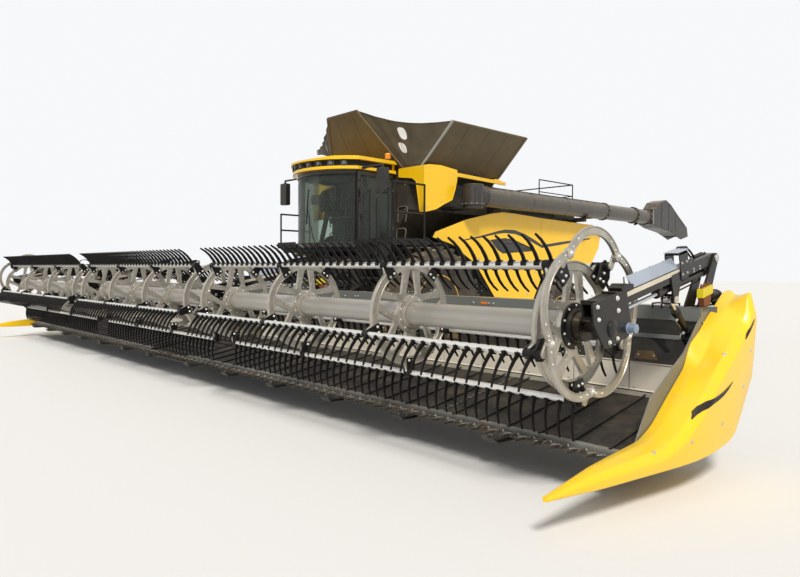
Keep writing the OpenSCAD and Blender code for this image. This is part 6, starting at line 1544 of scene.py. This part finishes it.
arm_up, arm_ahead = on_arm(0, 0, 1) - on_arm(0, 0, 0), on_arm(0, 1, 0) - on_arm(0, 0, 0)
covers, lids, rails, fittings, arm_bolts, arm_pipes, valves, primers = [], [], [], [], [], [], [], []
housings, white_heads, rams, bracket_bolts, tanks, motors = [], [], [], [], [], []
for x in arm_xs:
    s = 1 if x > 0 else -1
    e = x + s * 0.045

    def near(a, b):
        return (min(x + s * a, x + s * b), max(x + s * a, x + s * b))

    v = [tuple(on_arm(e + s * dx, a, u)) for a in (0.70, 1.42)
         for dx, u in ((0.002, 0.047), (-0.004, 0.050), (-0.050, 0.128), (-0.047, 0.132), (0.000, 0.058))]
    covers.append((v, skin(2, 5)))
    for a in (0.76, 0.98, 1.20, 1.38):
        covers.append(arm_plate(*near(-0.040, -0.036), corners(a, a + 0.02, 0.0465, 0.122)))
    rails += [arm_plate(*near(*span), corners(0.66, 1.60, 0.004, 0.040))
        for span in ((0.0456, 0.0515), (-0.0515, -0.0456))]
    for cheek in ((-0.061, -0.054), (0.054, 0.061)):
        fittings.append(arm_plate(*near(*cheek), ((0.550, -0.046), (0.680, -0.046), (0.690, 0.150),
            (0.660, 0.166), (0.560, 0.166), (0.535, 0.140))))
    fittings.append(arm_plate(*near(-0.061, 0.061), ((0.540, 0.146), (0.685, 0.146), (0.685, 0.158),
        (0.660, 0.168), (0.560, 0.168), (0.540, 0.158))))
    fittings.append(arm_plate(*near(-0.061, 0.061), corners(0.550, 0.680, -0.054, -0.0465)))
    lids.append(arm_plate(*near(-0.055, 0.063), corners(0.520, 0.715, 0.1685, 0.174)))
    arm_bolts += [bolt(on_arm(x + s * 0.061, a, u), (s, 0, 0), 0.009) for a in (0.575, 0.655)
        for u in (-0.01, 0.08)]
    arm_bolts += [bolt(on_arm(e, a, u), (s, 0, 0), 0.008) for a in (0.30, 0.42) for u in (-0.034, -0.012)]
    loop = [on_arm(x - s * 0.022, a, u) for a, u in ((0.53, 0.13), (0.47, 0.175), (0.38, 0.165),
        (0.30, 0.11), (0.24, 0.052), (0.12, 0.050), (0.02, 0.051))]
    arm_pipes.append(sweep(loop, 0.0085, 8))
    arm_pipes.append(sweep([p + Vector((-s * 0.030, 0, 0)) for p in loop], 0.0085, 8))
    arm_pipes.append(sweep([on_arm(x + s * 0.03, a, u) for a, u in ((0.20, -0.068), (0.14, -0.060),
        (0.08, -0.052), (0.02, -0.054))], 0.008, 8))
    for a in (0.145, 0.99):
        rams.append(turned(on_arm(x, a, -0.095), arm_ahead, collar(-0.016, 0.016, 0.030, 0.036), 28))
    rams.append(turned(on_arm(x, 0.149, -0.095), -arm_ahead,
        [(0, 0.029), (0.03, 0.029), (0.05, 0.020), (0.11, 0.020), (0.125, 0.012), (0.13, 0)], 24))
    rams.append(turned(on_arm(x - 0.026, 0.055, -0.095), (1, 0, 0), [(0, 0.030), (0.052, 0.030)], 24))
    for a in (0.22, 0.90):
        rams.append(turned(on_arm(x, a, -0.120), -arm_up, [(0, 0.013), (0.014, 0.013), (0.014, 0.010),
            (0.024, 0.010)], 12))
    arm_pipes.append(sweep([on_arm(x, 0.90, -0.140), on_arm(x, 0.88, -0.152), on_arm(x, 0.80, -0.154),
        on_arm(x, 0.45, -0.150), on_arm(x, 0.26, -0.152), on_arm(x, 0.22, -0.146)], 0.0065, 8))
    side = near(0.0598, 0.074)
    housings.append(arm_plate(*side, ((1.555, -0.245), (1.545, -0.16), (1.560, 0.050), (1.590, 0.068),
        (2.000, 0.068), (2.020, 0.050), (2.020, -0.070), (1.925, -0.255), (1.890, -0.270),
        (1.600, -0.265))))
    housings.append(turned(on_arm(x + s * 0.073, 1.797, -0.155), (s, 0, 0),
        [(0, 0.062), (0.010, 0.060), (0.016, 0.045), (0.016, 0)], 32))
    for a in (1.66, 1.93):
        housings.append(arm_plate(x - 0.062, x + 0.062, corners(a - 0.012, a + 0.012, 0.059, 0.072)))
    white_heads += [bolt(on_arm(x + s * 0.074, a, u), (s, 0, 0), 0.013)
        for a, u in ((1.70, 0.036), (1.70, -0.050), (1.96, 0.036), (1.96, -0.050), (1.745, -0.235),
        (1.850, -0.235))]
    white_heads += [turned(on_arm(x + s * 0.074, a, u), (s, 0, 0),
        [(-0.001, 0.019), (0.003, 0.018), (0.003, 0)], 20) for a, u in ((1.70, 0.036), (1.70, -0.050))]
    housings.append(arm_plate(*near(-0.050, 0.058), ((1.43, 0.046), (1.60, 0.046), (1.60, 0.085),
        (1.54, 0.105), (1.43, 0.080))))
    motors.append(turned(on_arm(x + s * 0.073, 1.585, -0.205), (s, 0, 0),
        [(0, 0.040), (0.006, 0.040), (0.008, 0.034), (0.060, 0.034), (0.064, 0.028), (0.064, 0)], 24))
    valves.append(arm_plate(*near(0.064, 0.120), ((0.235, -0.180), (0.430, -0.180), (0.445, -0.250),
        (0.250, -0.250))))
    primers.append(arm_plate(*near(0.064, 0.112), ((0.265, -0.251), (0.425, -0.251), (0.405, -0.330),
        (0.300, -0.330))))
    for k in range(3):
        primers.append(turned(on_arm(x + s * 0.088, 0.27 + 0.06 * k, -0.180), arm_up,
            [(0, 0.014), (0.018, 0.014), (0.018, 0.009), (0.034, 0.009)], 12))
    bracket_bolts += [bolt((x + t * 0.062, y, z), (t, 0, 0), 0.012) for t in (-1, 1)
        for y, z in ((-5.095, 1.385), (-5.04, 1.385))]
    for t in (-1, 1):
        bracket_bolts.append(turned((x + t * 0.061, *arm_foot), (t, 0, 0),
            [(0, 0.034), (0.012, 0.033), (0.016, 0.026), (0.016, 0)], 24))
        bracket_bolts.append(turned((x + t * 0.050, *reel_lift_low), (t, 0, 0),
            [(0, 0.032), (0.010, 0.031), (0.012, 0)], 20))
    tanks.append(turned((x, -4.885, 1.432), (0, 1, 0), [(0, 0.012), (0.012, 0.045), (0.03, 0.055),
        (0.24, 0.055), (0.262, 0.046), (0.274, 0.020), (0.29, 0.018), (0.29, 0)], 32))
    tanks.append(cut_sheet([(-5.02, 1.3515), (-4.64, 1.3515), (-4.62, 1.375), (-4.626, 1.377),
        (-4.645, 1.3595), (-5.02, 1.3595)], "x", x - 0.038, x + 0.038))
    tanks += [turned((x, y, 1.432), (0, 1, 0), collar(0, 0.026, 0.055, 0.060), 32)
        for y in (-4.84, -4.70)]
    tanks += [block((x - 0.02, y, 1.358), (x + 0.02, y + 0.026, 1.38)) for y in (-4.84, -4.70)]
fitted("arm_covers", covers, cover_pale, "reel_slides", ease=0.0015)
fitted("arm_box_lids", lids, cover_pale, "reel_arms", ease=0.0015)
fitted("arm_rails", rails, rail_cream, "reel_slides", ease=0.002)
fitted("arm_fittings", fittings + rams, arm_black, "reel_arms", ease=0.002)
fitted("arm_bolts", arm_bolts, zinc, "reel_arms")
fitted("arm_pipes", arm_pipes, black_trim, "reel_arms", keep=60)
fitted("slide_housings", housings, arm_black, "reel_slides", ease=0.003)
fitted("slide_bolts", white_heads, bolt_white, "reel_slides")
motor_blue = finish("pale blue motor paint", srgb(132, 152, 178), 0.35, metal=0.2, coat=0.2, dust=0.15)
fitted("slide_motors", motors, motor_blue, "reel_slides", keep=45)
fitted("arm_valves", valves, valve_yellow, "header", ease=0.004)
fitted("arm_valve_bodies", primers, valve_brown, "header", ease=0.002)
fitted("bracket_bolts", bracket_bolts, zinc, "header")
fitted("reel_accumulators", tanks, clamp_black, "header")


def cylinder_trim(name, xs, p, q, barrel_l, barrel_r, rod_r, body):
    low, way = Vector((0, *p)), (Vector((0, *q)) - Vector((0, *p))).normalized()
    down = Vector((1, 0, 0)).cross(way)
    glands, ports, pipes = [], [], []
    for x in xs:
        at = low + Vector((x, 0, 0))
        glands.append(turned(at + way * (barrel_l - 0.045), way,
            [(0, barrel_r - 0.001), (0, barrel_r + 0.006), (0.036, barrel_r + 0.006), (0.044, barrel_r),
            (0.044, rod_r + 0.004)], 32))
        glands.append(turned(at + way * 0.075, way, collar(0, 0.02, barrel_r, barrel_r + 0.004), 32))
        for d in (0.105, barrel_l - 0.075):
            ports.append(turned(at + way * d + down * (barrel_r - 0.003), down,
                [(0, 0.014), (0.014, 0.014), (0.016, 0.010), (0.024, 0.010)], 6))
        a, b = at + way * (barrel_l - 0.075), at + way * 0.16
        pipes.append(sweep([a + down * (barrel_r + 0.016), a - way * 0.02 + down * (barrel_r + 0.024),
            (a + b) / 2 + down * (barrel_r + 0.012), b + down * (barrel_r + 0.010)], 0.006, 8))
    fitted(name + "_glands", glands, arm_black, body, keep=50)
    fitted(name + "_ports", ports, zinc, body)
    fitted(name + "_pipes", pipes, steel_pipe, body, keep=60)


cylinder_trim("reel_lift", arm_xs, reel_lift_low, reel_lift_top, 0.350, 0.032, 0.016, "reel_lift_barrels")
cylinder_trim("feeder_lift", feeder_lift_xs, feeder_lift_low, feeder_lift_top, 1.050, 0.062, 0.036,
    "lift_barrels")
big_head, small_head = [(0, 0.036), (0.012, 0.035), (0.014, 0)], [(0, 0.032), (0.010, 0.031), (0.012, 0)]
for name, xs, d, pin, head, body in (("feeder_lift_pins", feeder_lift_xs, 0.053, feeder_lift_top,
        big_head, "header"), ("axle_lift_pins", feeder_lift_xs, 0.053, feeder_lift_low, big_head,
        "machine"), ("arm_lift_pins", arm_xs, 0.050, reel_lift_top, small_head, "reel_arms")):
    fitted(name, [turned((x + t * d, *pin), (t, 0, 0), head, 20) for x in xs for t in (-1, 1)], zinc, body)
